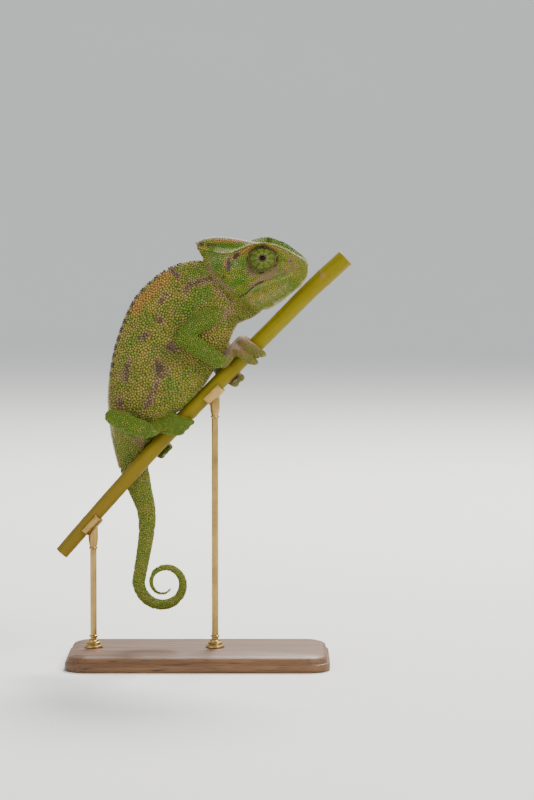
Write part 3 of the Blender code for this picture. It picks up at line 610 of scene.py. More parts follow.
def bumped(made: Tree, shader: Node, height: Socket, strength: float, reach: float) -> None:
    """Feeds a height through a Bump node to the shader's normal. The reach is in metres."""
    bump = made.wire(made.add("ShaderNodeBump"), Strength=strength, Distance=reach, Height=height)
    made.wire(shader, Normal=bump.outputs["Normal"])


@dataclass(frozen=True)
class WoodFinish:
    """Oiled walnut with its grain along X."""

    name: str = "walnut"
    dark: Colour = (0.052, 0.024, 0.012)
    light: Colour = (0.205, 0.105, 0.052)
    pore: Colour = (0.018, 0.009, 0.005)
    gloss: float = 0.25

    def build(self) -> Material:
        """The material."""
        made, shader = new_material(self.name)
        place = made.place()
        warp = made.noise(made.stretched(place, (0.25, 1.0, 1.0)), 18.0, 2.0)
        lifted = made.add("ShaderNodeVectorMath", operation="ADD")
        offset = made.add("ShaderNodeCombineXYZ")
        made.feed(offset.inputs[1], made.calc("MULTIPLY", warp, 0.02))
        made.feed(lifted.inputs[0], made.stretched(place, (0.05, 1.0, 1.6)))
        made.feed(lifted.inputs[1], offset.outputs[0])
        fibres = made.placed("fibres", Place=lifted.outputs[0], Scale=210.0, Contrast=2.4)
        colour = made.mix(fibres.outputs[0], self.dark, self.light)
        pores = made.noise(made.stretched(place, (0.04, 1.0, 1.0)), 2600.0, 1.0)
        pore_mask = made.span(pores, 0.60, 0.68, 0.0, 0.7)
        made.wire(shader, Base_Color=made.mix(pore_mask, colour, self.pore), Specular_IOR_Level=self.gloss)
        made.wire(shader, Roughness=made.span(fibres.outputs[0], 0.0, 1.0, 0.55, 0.40))
        bumped(made, shader, made.calc("SUBTRACT", fibres.outputs[0], pore_mask), 0.2, 0.0001)
        return made.owner


@dataclass(frozen=True)
class BrassFinish:
    """Brushed brass, a little darker where it has been handled."""

    name: str = "brushed_brass"
    metal: Colour = (0.46, 0.30, 0.10)
    worn: Colour = (0.27, 0.165, 0.055)

    def build(self) -> Material:
        """The material."""
        made, shader = new_material(self.name)
        place = made.place()
        upright = made.stretched(place, (1.0, 1.0, 12.0))
        brushed = made.placed("fibres", Place=upright, Scale=420.0, Contrast=2.0)
        stain = made.span(made.noise(place, 160.0), 0.4, 0.7, 0.0, 0.8)
        made.wire(shader, Base_Color=made.mix(stain, self.metal, self.worn), Metallic=1.0)
        made.wire(shader, Roughness=made.span(brushed.outputs[0], 0.0, 1.0, 0.24, 0.42))
        bumped(made, shader, brushed.outputs[0], 0.12, 0.00003)
        return made.owner


@dataclass(frozen=True)
class StemFinish:
    """A living green stem: mustard olive, browner towards its low end, with fine long fibres."""

    name: str = "stem_bark"
    low: Colour = (0.175, 0.105, 0.006)
    high: Colour = (0.195, 0.155, 0.000)
    streak: Colour = (0.110, 0.092, 0.000)
    cork: Colour = (0.22, 0.13, 0.045)
    gloss: float = 0.2
    lean: float = math.radians(43.0)

    def build(self) -> Material:
        """The material."""
        made, shader = new_material(self.name)
        place = made.place()
        axes = made.add("ShaderNodeSeparateXYZ")
        made.feed(axes.inputs[0], place)
        climb = made.span(axes.outputs[2], 0.05, 0.125, 0.0, 1.0)
        colour = made.mix(climb, self.low, self.high)
        along = made.stretched(place, (0.07, 1.0, 1.0), -self.lean)
        fibres = made.placed("fibres", Place=along, Scale=520.0, Contrast=2.0)
        colour = made.mix(made.span(fibres.outputs[0], 0.35, 0.8, 0.0, 0.55), colour, self.streak)
        blot = made.noise(place, 110.0, 4.0, 0.6)
        colour = made.mix(made.span(blot, 0.55, 0.75, 0.0, 0.5), colour, self.low)
        colour = made.mix(made.stored("scar").outputs["Fac"], colour, self.cork)
        rough = made.span(blot, 0.3, 0.7, 0.42, 0.58)
        made.wire(shader, Base_Color=colour, Roughness=rough, Specular_IOR_Level=self.gloss)
        bumped(made, shader, fibres.outputs[0], 0.25, 0.00008)
        return made.owner


@dataclass(frozen=True)
class EyeFinish:
    """A wet eyeball: a black pupil in a thin ring of gold."""

    name: str = "eyeball"
    pupil: Colour = (0.002, 0.002, 0.002)
    deep_gold: Colour = (0.09, 0.05, 0.015)
    bright_gold: Colour = (0.20, 0.13, 0.04)
    edge: Colour = (0.02, 0.012, 0.008)
    gloss: float = 0.08

    def build(self) -> Material:
        """The material."""
        made, shader = new_material(self.name)
        ring = made.stored("iris").outputs["Fac"]
        gold = made.mix(made.noise(made.place(), 4000.0), self.deep_gold, self.bright_gold)
        colour = made.mix(made.span(ring, 0.86, 0.89, 0.0, 1.0), self.pupil, gold)
        colour = made.mix(made.span(ring, 0.93, 0.96, 0.0, 1.0), colour, self.edge)
        made.wire(shader, Base_Color=colour, Roughness=0.12, Specular_IOR_Level=self.gloss)
        made.wire(shader, Coat_Weight=0.12, Coat_Roughness=0.03)
        return made.owner


@dataclass(frozen=True)
class ClawFinish:
    """Horn: brown at the root and pale and smoother at the tip."""

    name: str = "claw_horn"
    root: Colour = (0.10, 0.065, 0.025)
    tip: Colour = (0.26, 0.19, 0.10)
    streak: Colour = (0.09, 0.05, 0.025)

    def build(self) -> Material:
        """The material."""
        made, shader = new_material(self.name)
        along = made.stored("along").outputs["Fac"]
        streaks = made.noise(made.place(), 1500.0)
        streaked = made.span(streaks, 0.4, 0.7, 0.0, 0.5)
        colour = made.mix(streaked, made.mix(along, self.root, self.tip), self.streak)
        made.wire(shader, Base_Color=colour, Roughness=made.span(along, 0.0, 1.0, 0.42, 0.25))
        bumped(made, shader, streaks, 0.2, 0.00003)
        return made.owner


@dataclass(frozen=True)
class FloorFinish:
    """The studio's plain pale floor."""

    name: str = "studio_floor"
    shade: Colour = (0.74, 0.75, 0.72)
    light: Colour = (0.78, 0.79, 0.76)

    def build(self) -> Material:
        """The material."""
        made, shader = new_material(self.name)
        colour = made.mix(made.noise(made.place(), 1.5), self.shade, self.light)
        made.wire(shader, Base_Color=colour, Roughness=0.85)
        return made.owner


# ---- the hide's surface


class Surface:
    """A closed skin of four-sided faces, in millimetres, with what is needed to work on it."""

    def __init__(self, points: Array, quads: Array) -> None:
        """Takes the points and the faces."""
        self.points = points
        self.quads = quads
        self.tris = np.stack([quads[:, (0, 1, 2)], quads[:, (0, 2, 3)]], axis=1).reshape(-1, 3)
        sides = np.concatenate([quads[:, (k, (k + 1) % 4)] for k in range(4)])
        self.links = np.unique(np.sort(sides, axis=1), axis=0)
        self.degree = np.bincount(self.links.ravel(), minlength=len(points)).astype(float)

    def normals(self) -> Array:
        """The outward direction at each point."""
        return point_normals(self.points, self.tris)

    def blur(self, values: Array, rounds: int, weight: object = 0.5) -> Array:
        """Values drawn towards their neighbours' mean.

        Args:
            values: one value or row for each point.
            rounds: how many times.
            weight: how far each time, one number or one for each point.

        Returns:
            The new values.
        """
        start, end = self.links.T
        count = len(self.points)
        flat = values.reshape(count, -1).astype(float)
        share = weight if np.isscalar(weight) else np.asarray(weight).reshape(-1, 1)
        for _ in range(rounds):
            near = [np.bincount(start, c[end], count) + np.bincount(end, c[start], count) for c in flat.T]
            flat = flat + share * (np.stack(near, axis=1) / self.degree[:, None] - flat)
        return flat.reshape(values.shape)

    def tree(self) -> BVHTree:
        """A search tree over the triangles."""
        return mesh_tree(self.points, self.tris)


@dataclass
class Solids:
    """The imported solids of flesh, welded into plain arrays."""

    names: list[str]
    points: Array = field(init=False)
    faces: Array = field(init=False)
    owner: Array = field(init=False)

    def __post_init__(self) -> None:
        """Reads every node's mesh."""
        points, faces, owner = [], [], []
        offset = 0
        for number, name in enumerate(self.names):
            own_points, own_faces = self.welded(name)
            points.append(own_points)
            faces.append(own_faces + offset)
            owner.append(np.full(len(own_faces), number))
            offset += len(own_points)
        self.points, self.faces, self.owner = map(np.concatenate, (points, faces, owner))

    @staticmethod
    def welded(name: str) -> tuple[Array, Array]:
        """A node's points without doubles, and its triangles."""
        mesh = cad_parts[name].data
        mesh.calc_loop_triangles()
        raw = read(mesh.vertices, "co", 3).astype(float) / MM
        _, first, same = np.unique(np.round(raw, 3), axis=0, return_index=True, return_inverse=True)
        tris = same.ravel()[read(mesh.loop_triangles, "vertices", 3, np.int32)]
        whole = (tris[:, 0] != tris[:, 1]) & (tris[:, 1] != tris[:, 2]) & (tris[:, 2] != tris[:, 0])
        return raw[first], tris[whole]

    def grown(self, by: float) -> Array:
        """The points moved outwards along their normals."""
        return self.points + by * point_normals(self.points, self.faces)


@dataclass(frozen=True)
class Crease:
    """A line that the hide is pressed in along, or raised along, on both sides of the head."""

    line: Line
    width: float
    height: float


@dataclass
class Claws:
    """The claws at the tips of each foot's toes."""

    length: float = 2.2
    radius: float = 0.56
    sunk: float = 0.5
    near: float = 1.5
    wide: float = 2.6
    apart: float = 1.9
    steps: int = 10
    rings: int = 7
    tips: dict[str, list[tuple[Array, Array]]] = field(default_factory=dict)

    COUNTS: ClassVar = {
        "hand_right_outer": 2, "hand_right_inner": 3, "hand_left_outer": 2, "hand_left_inner": 3,
        "foot_right_outer": 3, "foot_right_inner": 2, "foot_left_outer": 3, "foot_left_inner": 2,
    }

    def find(self) -> None:
        """Finds each claw's tip and direction: the thinnest ends of each bundle of toes."""
        for name, count in self.COUNTS.items():
            points, faces = Solids.welded(name)
            a, b, c = (points[faces[:, k]] for k in range(3))
            middles = (a + b + c) / 3
            areas = norm(np.cross(b - a, c - a), axis=1) / 2
            gaps = norm(points[:, None] - middles[None], axis=2)
            mass = (areas * (gaps < self.near)).sum(axis=1)
            found: list[tuple[Array, Array]] = []
            for k in np.argsort(mass):
                if len(found) == count:
                    break
                if all(norm(points[k] - tip) > self.apart for tip, _ in found):
                    share = areas * (gaps[k] < self.wide)
                    way = points[k] - (middles * share[:, None]).sum(axis=0) / share.sum()
                    found.append((points[k], way / norm(way)))
            self.tips[name] = found

    def blunted(self, points: Array) -> Array:
        """The points of grown solids with each claw pushed back to its root."""
        made = points.copy()
        for found in self.tips.values():
            for tip, way in found:
                root = tip - way * self.length * 0.8
                along = (made - root) @ way
                across = norm(made - root - along[:, None] * way, axis=1)
                ahead = (along > 0) & (across < 2 * self.radius - 0.02) & (along < self.length * 1.4)
                made[ahead] -= along[ahead, None] * way
        return made

    def build(self, material: Material) -> None:
        """One piece for each bundle of toes, with its claws as tapering cones."""
        profile = [(0.0, -self.sunk)]
        for share in np.linspace(0.0, 1.0, self.rings):
            wide = self.radius * (1 - share**1.7) ** 0.8
            profile.append((wide, -self.sunk + share * (self.length + self.sunk)))
        cone, quads = turned(tuple(profile), self.steps)
        along = np.clip(cone[:, 2] / self.length, 0, 1)
        for name, found in self.tips.items():
            turns = [np.array(Vector(way).to_track_quat("Z", "Y").to_matrix()) for _, way in found]
            points = [cone @ turn.T + tip - way * self.length for turn, (tip, way) in zip(turns, found)]
            faces = [quads + k * len(cone) for k in range(len(found))]
            obj = new_mesh("claws_" + name, np.concatenate(points), np.concatenate(faces))
            set_values(obj, "along", np.tile(along, len(found)))
            finished(obj, material)


@dataclass(frozen=True)
class Lids:
    """The fused lids of one turret, as distances from its axis, for its shape and its colours."""

    spokes: int = 9
    spoke_turn: float = 0.4
    reach: float = 9.0
    groove: float = 5.62
    welt: float = 5.15
    inner_groove: float = 4.7
    pinhole: tuple[float, float] = (0.7, 1.25)
    dark_ring: float = 5.58
    dark_inner_ring: float = 4.72
    dark_middle: float = 1.75
    pale_ring: float = 1.95

    def frame(self, points: Array, side: int) -> tuple[Array, Array, Array]:
        """Each point's distance from a turret's axis, its angle round it and its height along it."""
        eye = moved(points, eye_matrix(side).inverted())
        return np.hypot(eye[:, 0], eye[:, 1]), np.arctan2(eye[:, 1], eye[:, 0]), eye[:, 2]

    def spoke(self, angle: Array) -> Array:
        """One in the middle of a spoke, and 0 half way to the next."""
        return 0.5 + 0.5 * np.cos(angle * self.spokes + self.spoke_turn)

    def rise(self, radius: Array, angle: Array) -> Array:
        """The height that the grooves, the welt, the spokes and the pinhole add."""
        grooves = -0.7 * bell(radius - self.groove, 0.3) - 0.18 * bell(radius - self.inner_groove, 0.2)
        pit = -1.25 * ramp(-radius, -self.pinhole[1], -self.pinhole[0])
        welt = 0.10 * bell(radius - self.welt, 0.3)
        spokes = -0.14 * self.spoke(angle) ** 5 * ramp(radius, 1.6, 2.6) * ramp(-radius, -5.0, -4.2)
        return grooves + pit + welt + spokes

    def tints(self, radius: Array, angle: Array) -> list[tuple[Tint, Array]]:
        """The shares of the rings and spokes."""
        spokes = self.spoke(angle) ** (1.5 + 1.6 * radius)
        return [
            (Tint.DARK, bell(radius - self.dark_ring, 0.28)),
            (Tint.DARK, 0.95 * bell(radius - self.dark_inner_ring, 0.26)),
            (Tint.DARK, ramp(-radius, -self.dark_middle, -1.35)),
            (Tint.PALE, 0.1 * bell(radius - self.pale_ring, 0.3)),
            (Tint.PINK, 0.7 * bell(radius - self.welt, 0.26)),
            (Tint.DARK, 0.92 * spokes * ramp(-radius, -4.7, -4.4)),
        ]


@dataclass
class Hide:
    """The one skin over all the flesh: its shape, its regions and its markings."""

    claws: Claws
    pattern: Lids = Lids()
    voxel: float = 0.46
    grow: float = 0.2
    depth: float = 0.26
    first_rounds: int = 4
    soft_rounds: int = 34
    settling: tuple[int, ...] = (24, 12, 8)
    seam_angle: float = math.radians(66.0)
    island_margin: float = 0.0015
    surface: Surface = field(init=False)
    names: list[str] = field(init=False)
    label: Array = field(init=False)
    normal: Array = field(init=False)
    spacing: Array = field(init=False)
    phase: Array = field(init=False)
    flow: Array = field(init=False)
    tints: Array = field(init=False)
    on_lids: Array = field(init=False)
    lids: Array = field(init=False)
    uv: Array = field(init=False)
    obj: Object = field(init=False)

    SPACING: ClassVar = {
        "head": 0.74, "casque": 0.78, "lower_jaw": 0.68, "eye_turret": 0.46, "neck": 0.84, "trunk": 0.98,
        "pelvis": 0.84, "tail_1": 0.80, "tail_2": 0.74, "tail_3": 0.68, "tail_4": 0.62, "upper_arm": 0.78,
        "forearm": 0.75, "thigh": 0.80, "shin": 0.76, "hand": 0.54, "foot": 0.54,
    }
    SOFTNESS: ClassVar = {Part.HEAD: 0.10, Part.BODY: 1.0, Part.TAIL: 0.55, Part.LIMB: 0.55, Part.FOOT: 0.6}

    CREASES: ClassVar = (
        Crease(BROW, 0.75, 0.34),
        Crease(POSTORBITAL, 0.8, 0.34),
        Crease(MOUTH, 0.42, -0.62),
        Crease(tuple((x, y, z + 0.9) for x, y, z in MOUTH[1:8]), 0.5, 0.16),
        Crease(tuple((x, y, z - 0.9) for x, y, z in MOUTH[1:9]), 0.55, 0.18),
        Crease(UNDER_EYE, 0.7, 0.24),
        Crease(tuple((x, y, z - 1.3) for x, y, z in UNDER_EYE), 0.5, -0.2),
        Crease(CHEEK_FOLD, 0.7, -0.28),
        Crease(JAW_FOLD, 0.7, -0.5),
        Crease(tuple((x + 1.5, y, z + 0.4) for x, y, z in JAW_FOLD), 0.8, 0.3),
        Crease(NECK_FOLD, 0.8, -0.55),
        Crease(tuple((x - 1.7, y, z - 0.2) for x, y, z in NECK_FOLD), 0.9, 0.3),
    )

    def build(self) -> None:
        """Makes the skin's shape, then its fields."""
        self.names = sorted(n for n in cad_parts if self.is_flesh(n))
        solids = Solids(self.names)
        self.claws.find()
        self.shrink_wrap(solids)
        self.fit(solids)
        self.sculpt()
        self.normal = self.surface.normals()
        self.set_spacing()
        self.set_flow()
        self.tints = Markings(self).paint()

    @staticmethod
    def is_flesh(name: str) -> bool:
        """Whether a node is flesh: not an eyeball, the stem or the stand."""
        return not name.startswith(("perch", "stand_", "eye_right", "eye_left"))

    def part_mask(self, *parts: Part) -> Array:
        """Which points are in any of these parts."""
        wanted = [n.startswith(tuple(p for part in parts for p in part.value)) for n in self.names]
        return np.array(wanted)[self.label]

    def shrink_wrap(self, solids: Solids) -> None:
        """Grows the solids into each other and takes one closed skin round them all."""
        points = self.claws.blunted(solids.grown(self.grow))
        rough = new_mesh("rough", points, solids.faces)
        remesh = rough.modifiers.new("one_skin", "REMESH")
        remesh.mode = "VOXEL"
        remesh.voxel_size = self.voxel * MM
        shape = rough.evaluated_get(bpy.context.evaluated_depsgraph_get()).data
        points = read(shape.vertices, "co", 3).astype(float) / MM
        quads = read(shape.loops, "vertex_index", 1, np.int32).reshape(-1, 4)
        bpy.data.objects.remove(rough)
        self.surface = self.largest_piece(points, quads)

    @staticmethod
    def largest_piece(points: Array, quads: Array) -> Surface:
        """The outer skin alone, without the closed pockets left between solids."""
        mark = np.arange(len(points))
        while True:
            lowest = mark[quads].min(axis=1)
            new = mark.copy()
            for k in range(4):
                np.minimum.at(new, quads[:, k], lowest)
            new = new[new]
            if (new == mark).all():
                break
            mark = new
        names, counts = np.unique(mark, return_counts=True)
        kept = mark == names[counts.argmax()]
        renumber = np.cumsum(kept) - 1
        return Surface(points[kept], renumber[quads[kept[quads[:, 0]]]])

    def measure(self, tree: BVHTree) -> tuple[Array, Array]:
        """Each point's height over the solids, and the triangle that it is nearest to."""
        height = np.empty(len(self.surface.points))
        nearest = np.empty(len(self.surface.points), int)
        for k, point in enumerate(self.surface.points.tolist()):
            place, normal, face, distance = tree.find_nearest(point)
            away = (point[0] - place[0]) * normal[0] + (point[1] - place[1]) * normal[1]
            away += (point[2] - place[2]) * normal[2]
            height[k] = math.copysign(distance, away)
            nearest[k] = face
        return height, nearest

    def fit(self, solids: Solids) -> None:
        """Smooths the skin, softer on the body than on head and feet, and sets its depth."""
        surface, tree = self.surface, mesh_tree(solids.points, solids.faces)
        _, nearest = self.measure(tree)
        self.label = solids.owner[nearest]
        softness = np.zeros(len(surface.points))
        for part, value in self.SOFTNESS.items():
            softness[self.part_mask(part)] = value
        softness = surface.blur(softness, 12)
        surface.points = surface.blur(surface.points, self.first_rounds)
        surface.points = surface.blur(surface.points, self.soft_rounds, 0.5 * softness)
        for rounds in self.settling:
            height, _ = self.measure(tree)
            excess = surface.blur(np.clip(height, -1.5, 1.5) + self.depth, rounds)
            surface.points = surface.points - excess[:, None] * surface.normals()

    def on(self, prefix: str) -> Array:
        """Which points are on nodes whose name starts this way."""
        return np.array([n.startswith(prefix) for n in self.names])[self.label]

    def sculpt(self) -> None:
        """Presses in and raises the folds, ridges and grooves."""
        surface = self.surface
        normals = surface.blur(surface.normals(), 2)
        local = moved(surface.points, head_matrix().inverted())
        folded = mirrored(local)
        under = brow_at(folded[:, 0], 2) - folded[:, 2]
        rise = self.folds(local, folded)
        turret = surface.blur(self.on("eye_turret").astype(float), 4) > 0.25
        self.on_lids = np.zeros(len(surface.points), bool)
        self.lids = np.zeros(len(surface.points), bool)
        for side in (-1, 1):
            radius, angle, height = self.pattern.frame(surface.points, side)
            aim = np.array(eye_matrix(side).col[2][:3])
            here = turret & (under > 0.3) & (normals @ aim > -0.12) & (height > -2.5)
            here &= radius < self.pattern.reach
            self.lids |= here
            self.on_lids |= (height > -1.5) & (radius < 6.1) & here
            eased = rise * ramp(radius, 5.6, 6.6) + self.pattern.rise(radius, angle)
            rise[here] = eased[here]
        lateral = np.sign(local[:, 1:2]) * np.array(head_matrix().col[1][:3])
        fillet = surface.blur(self.brow_fillet(folded, under, normals), 2)
        surface.points = surface.points + rise[:, None] * normals + fillet[:, None] * lateral

    def folds(self, local: Array, folded: Array) -> Array:
        """The height that the creases, the casque's crest and the nostrils add.

        Args:
            local: the points in the head's frame.
            folded: the same, with both sides laid on one.

        Returns:
            One height for each point.
        """
        rise = np.zeros(len(local))
        near = self.part_mask(Part.HEAD, Part.BODY)
        for crease in self.CREASES:
            rise[near] += crease.height * bell(line_distance(folded[near], crease.line), crease.width)
        rise += 0.3 * bell(line_distance(local, CASQUE_CREST), 0.8)
        nostril = norm(folded - NOSTRIL, axis=1)
        return rise + 0.22 * bell(nostril - 1.0, 0.45) - 0.75 * bell(nostril, 0.55)

    def brow_fillet(self, folded: Array, under: Array, normals: Array) -> Array:
        """How far out the hide is filled between the brow and the lids.

        Args:
            folded: the points in the head's frame, both sides laid on one.
            under: how far each lies under the brow.
            normals: the directions out of the hide.

        Returns:
            One distance for each point.
        """
        up = np.array(head_matrix().col[2][:3])
        reach = brow_at(folded[:, 0], 1) + 0.2 - 0.3 * under
        filled = np.clip(reach - folded[:, 1], 0.0, 1.0) * ramp(under, -0.3, 0.2) * ramp(-under, -2.3, -1.5)
        filled *= ramp(folded[:, 0], 9.0, 11.5) * ramp(-folded[:, 0], -24.0, -21.5)
        return filled * ramp(-(normals @ up), -0.35, 0.0)

    def set_spacing(self) -> None:
        """The scales' spacing at each point, by part, changing gently between parts."""
        size = np.array([next(v for k, v in self.SPACING.items() if n.startswith(k)) for n in self.names])
        spacing = size[self.label]
        beside_lids = self.on("eye_turret") & ~self.lids
        spacing[beside_lids] = self.SPACING["head"]
        spacing = self.surface.blur(spacing, 24)
        local = moved(self.surface.points, head_matrix().inverted())
        near_lips = bell(line_distance(mirrored(local), MOUTH), 2.2)
        snout = ramp(local[:, 0], 20.0, 31.0) * self.part_mask(Part.HEAD)
        for side in (-1, 1):
            eye = moved(self.surface.points, eye_matrix(side).inverted())
            radius = norm(eye * (1, 1, 0.5), axis=1)
            spacing = spacing * (1.0 - 0.22 * bell(radius - 6.3, 1.0))
            flat = np.hypot(eye[:, 0], eye[:, 1])
            inner = (eye[:, 2] > 0) & (flat < 5.2) & self.lids
            spacing[inner] = 0.36 + 0.03 * flat[inner]
        self.spacing = spacing * (1.0 - 0.2 * near_lips) * (1.0 - 0.12 * snout)

    def two_rings(self) -> Array:
        """Pairs of points one or two links apart, both ways round, sorted by the first."""
        links = self.surface.links
        both = np.concatenate([links, links[:, ::-1]])
        both = both[np.argsort(both[:, 0], kind="stable")]
        starts = np.searchsorted(both[:, 0], np.arange(len(self.surface.points) + 1))
        fan = starts[both[:, 1] + 1] - starts[both[:, 1]]
        source = np.repeat(both[:, 0], fan)
        inside = np.arange(fan.sum()) - np.repeat(np.cumsum(fan) - fan, fan)
        target = both[np.repeat(starts[both[:, 1]], fan) + inside, 1]
        far = np.stack([source, target], axis=1)[source != target]
        ways = np.concatenate([both, far])
        return ways[np.argsort(ways[:, 0], kind="stable")]

    def set_flow(self) -> None:
        """Counts rows of scales from the snout's tip and takes the way that they lie."""
        surface = self.surface
        count = len(surface.points)
        ways = self.two_rings()
        starts = np.searchsorted(ways[:, 0], np.arange(count + 1)).tolist()
        length = norm(surface.points[ways[:, 0]] - surface.points[ways[:, 1]], axis=1)
        pitch = ROW_PITCH * (self.spacing[ways[:, 0]] + self.spacing[ways[:, 1]]) / 2
        ends, costs = ways[:, 1].tolist(), (length / pitch).tolist()
        tip = int(np.argmin(norm(surface.points - head_points((SNOUT_TIP,), 1), axis=1)))
        best = [math.inf] * count
        best[tip] = 0.0
        heap = [(0.0, tip)]
        while heap:
            value, here = heapq.heappop(heap)
            if value > best[here]:
                continue
            for k in range(starts[here], starts[here + 1]):
                reach = value + costs[k]
                if reach < best[ends[k]]:
                    best[ends[k]] = reach
                    heapq.heappush(heap, (reach, ends[k]))
        self.phase = surface.blur(np.array(best), 16)
        start, end = surface.links.T
        run = surface.points[end] - surface.points[start]
        pull = run * ((self.phase[end] - self.phase[start]) / np.maximum((run**2).sum(axis=1), 1e-9))[:, None]
        total = [np.bincount(start, p, count) + np.bincount(end, p, count) for p in pull.T]
        total = np.stack(total, axis=1)
        total -= (total * self.normal).sum(axis=1, keepdims=True) * self.normal
        self.flow = unit(surface.blur(total, 10))

    def make(self, material: Material) -> None:
        """The skin's object, with its unwrap and its markings."""
        surface = self.surface
        self.obj = new_mesh("skin", surface.points, surface.quads)
        self.unwrap()
        # A low height gives the whole skin between the scales the gaps' painted shade.
        dome = np.full(len(surface.points), 0.12)
        tone = mottle(surface.points, 1.1, 5)
        self.store(self.obj, self.tints, tone, dome)
        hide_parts(*self.names)
        finished(self.obj, material)

    @staticmethod
    def store(obj: Object, tints: Array, tone: Array, dome: Array) -> None:
        """Stores the markings, in Tint's order, the tone and the height within a scale, which the hide's
        colours turn into painted shade low down and a painted highlight on top.
        """
        set_colours(obj, "marks", tints[:, :4])
        set_colours(obj, "tints", np.column_stack([tints[:, 4:], tone, dome]))

    def unwrap(self) -> None:
        """Unwraps the skin by its own shape, for the coat to share."""
        bpy.context.view_layer.objects.active = self.obj
        self.obj.select_set(True)
        self.obj.data.uv_layers.new(name="OFBake")
        bpy.ops.object.mode_set(mode="EDIT")
        bpy.ops.mesh.select_all(action="SELECT")
        bpy.ops.uv.smart_project(angle_limit=self.seam_angle, island_margin=self.island_margin)
        bpy.ops.object.mode_set(mode="OBJECT")
        self.obj.select_set(False)
        by_quad = read(self.obj.data.uv_layers["OFBake"].data, "uv", 2).astype(float).reshape(-1, 4, 2)
        self.uv = np.stack([by_quad[:, (0, 1, 2)], by_quad[:, (0, 2, 3)]], axis=1).reshape(-1, 3, 2)


# ---- the markings


@dataclass(frozen=True)
class Mark:
    """One marking: a stroke in the side view, in its frame's x and z."""

    tint: Tint
    line: Line
    width: float
    strength: float = 1.0
    ragged: float = 0.5


def marks(tint: Tint, *rows: tuple) -> tuple[Mark, ...]:
    """Markings of one tint, from rows of a line, a width and, where unusual, strength and raggedness."""
    return tuple(Mark(tint, *row) for row in rows)


HEAD_MARKS = (
    *marks(
        Tint.TAN,
        (((21.4, 9.2), (24.7, 7.6), (28.1, 5.9), (30.4, 4.6), (32.7, 3.1)), 1.8, 0.75),
        (((-5.5, 9.8), (-6.6, 7.0), (-5.6, 4.0)), 2.6, 0.5), (((24.0, 2.6), (29.5, 1.8)), 2.4, 0.4, 1.0),
        (((17.0, -8.5), (24.0, -5.0)), 2.8, 0.35, 1.0),
    ),
    *marks(
        Tint.GREEN,
        (((-1.3, 9.2), (3.7, 9.2), (9.1, 9.1)), 1.7, 0.9), (((-2.3, 6.0), (1.1, 5.9)), 1.9, 0.5),
        (((5.3, 3.4), (9.1, 3.4)), 1.9, 0.95), (((9.4, -2.4), (5.5, -4.2)), 1.9, 0.95),
        (((-2.0, 1.0), (0.2, 2.6)), 2.1, 0.95), (((1.5, -6.0), (0.6, -3.0)), 1.4, 0.7),
        (((23.7, -1.2), (22.4, 0.4)), 1.7, 0.8), (((24.6, 5.2), (22.6, 4.2)), 1.1, 0.6),
        (((24.0, -7.6), (28.4, -5.0)), 1.3, 0.6),
    ),
    *marks(
        Tint.DARK,
        (((-5.9, 9.2), (-2.6, 9.4)), 0.55, 0.85, 0.2), (((-8.4, 10.2), (-7.4, 9.6)), 0.8, 0.7),
        (((5.9, 5.6), (7.1, 6.4)), 1.1, 1.0, 0.2), (((3.8, 4.6), (3.6, 3.0), (3.4, 1.6)), 1.2, 1.0, 0.2),
        (((1.9, -1.8), (2.0, -1.4)), 0.7, 0.75, 0.2),
        # A dark line along the mouth's crease: painted shade in the seam between the lips.
        (((7.7, -8.9), (9.4, -8.6), (11.7, -6.3), (13.7, -4.6), (16.6, -3.4)), 0.5, 0.85, 0.1),
        (((26.6, 3.75), (26.8, 3.7)), 0.55, 0.7, 0.0),
    ),
    *marks(
        Tint.PALE,
        (((-1.9, 7.6), (1.4, 7.5), (4.7, 7.4)), 1.0, 0.18),
        (((-3.0, 4.6), (1.0, 4.4), (3.0, 5.2)), 2.4, 0.08, 0.9),
        (((10.4, -9.3), (12.0, -7.3), (13.7, -6.0), (18.7, -4.2), (23.7, -2.5), (27.1, -1.2)), 0.6, 0.1),
        (((2.0, 3.4), (4.6, 2.2), (6.6, 3.6)), 2.2, 0.05, 0.9),
        (((13.0, -11.6), (19.0, -9.4), (25.0, -6.4)), 2.2, 0.07, 0.9),
        # Pale along the chin's lower edge: the throat's own pale, strengthened as painted rim light.
        (((20.6, -13.0), (24.6, -11.2), (28.4, -8.4), (31.0, -5.4)), 1.3, 0.45),
    ),
    *marks(
        Tint.PINK,
        (((10.4, 1.9), (12.1, -0.5), (15.7, -1.7), (19.7, -0.7), (21.6, 1.3)), 1.1, 0.75),
        (((11.7, -5.4), (15.7, -2.7), (21.4, -0.7), (25.7, 0.3), (28.7, 1.6)), 0.85, 0.8),
        (((-4.6, 1.7), (-2.9, -0.3), (-1.3, -2.9), (1.4, -4.6), (4.7, -6.9)), 1.5, 0.65),
        (((-1.3, -6.2), (1.4, -8.2), (3.7, -10.2)), 1.3, 0.5),
        (((26.6, 3.9), (26.8, 3.7)), 1.5, 0.8, 0.1),
    ),
    *marks(
        Tint.ORANGE,
        (
            ((21.4, 9.6), (19.1, 10.2), (16.4, 10.4), (13.7, 9.9), (10.4, 8.4), (7.7, 7.1), (5.4, 5.6),
            (3.4, 4.1), (2.6, 2.6)), 1.45, 0.8, 0.25,
        ),
        (((-2.6, 11.4), (1.4, 11.0), (4.4, 10.8), (7.7, 10.7), (11.1, 10.1)), 1.1, 0.8),
        (((14.4, -9.2), (12.4, -9.8)), 2.3, 0.45),
    ),
)

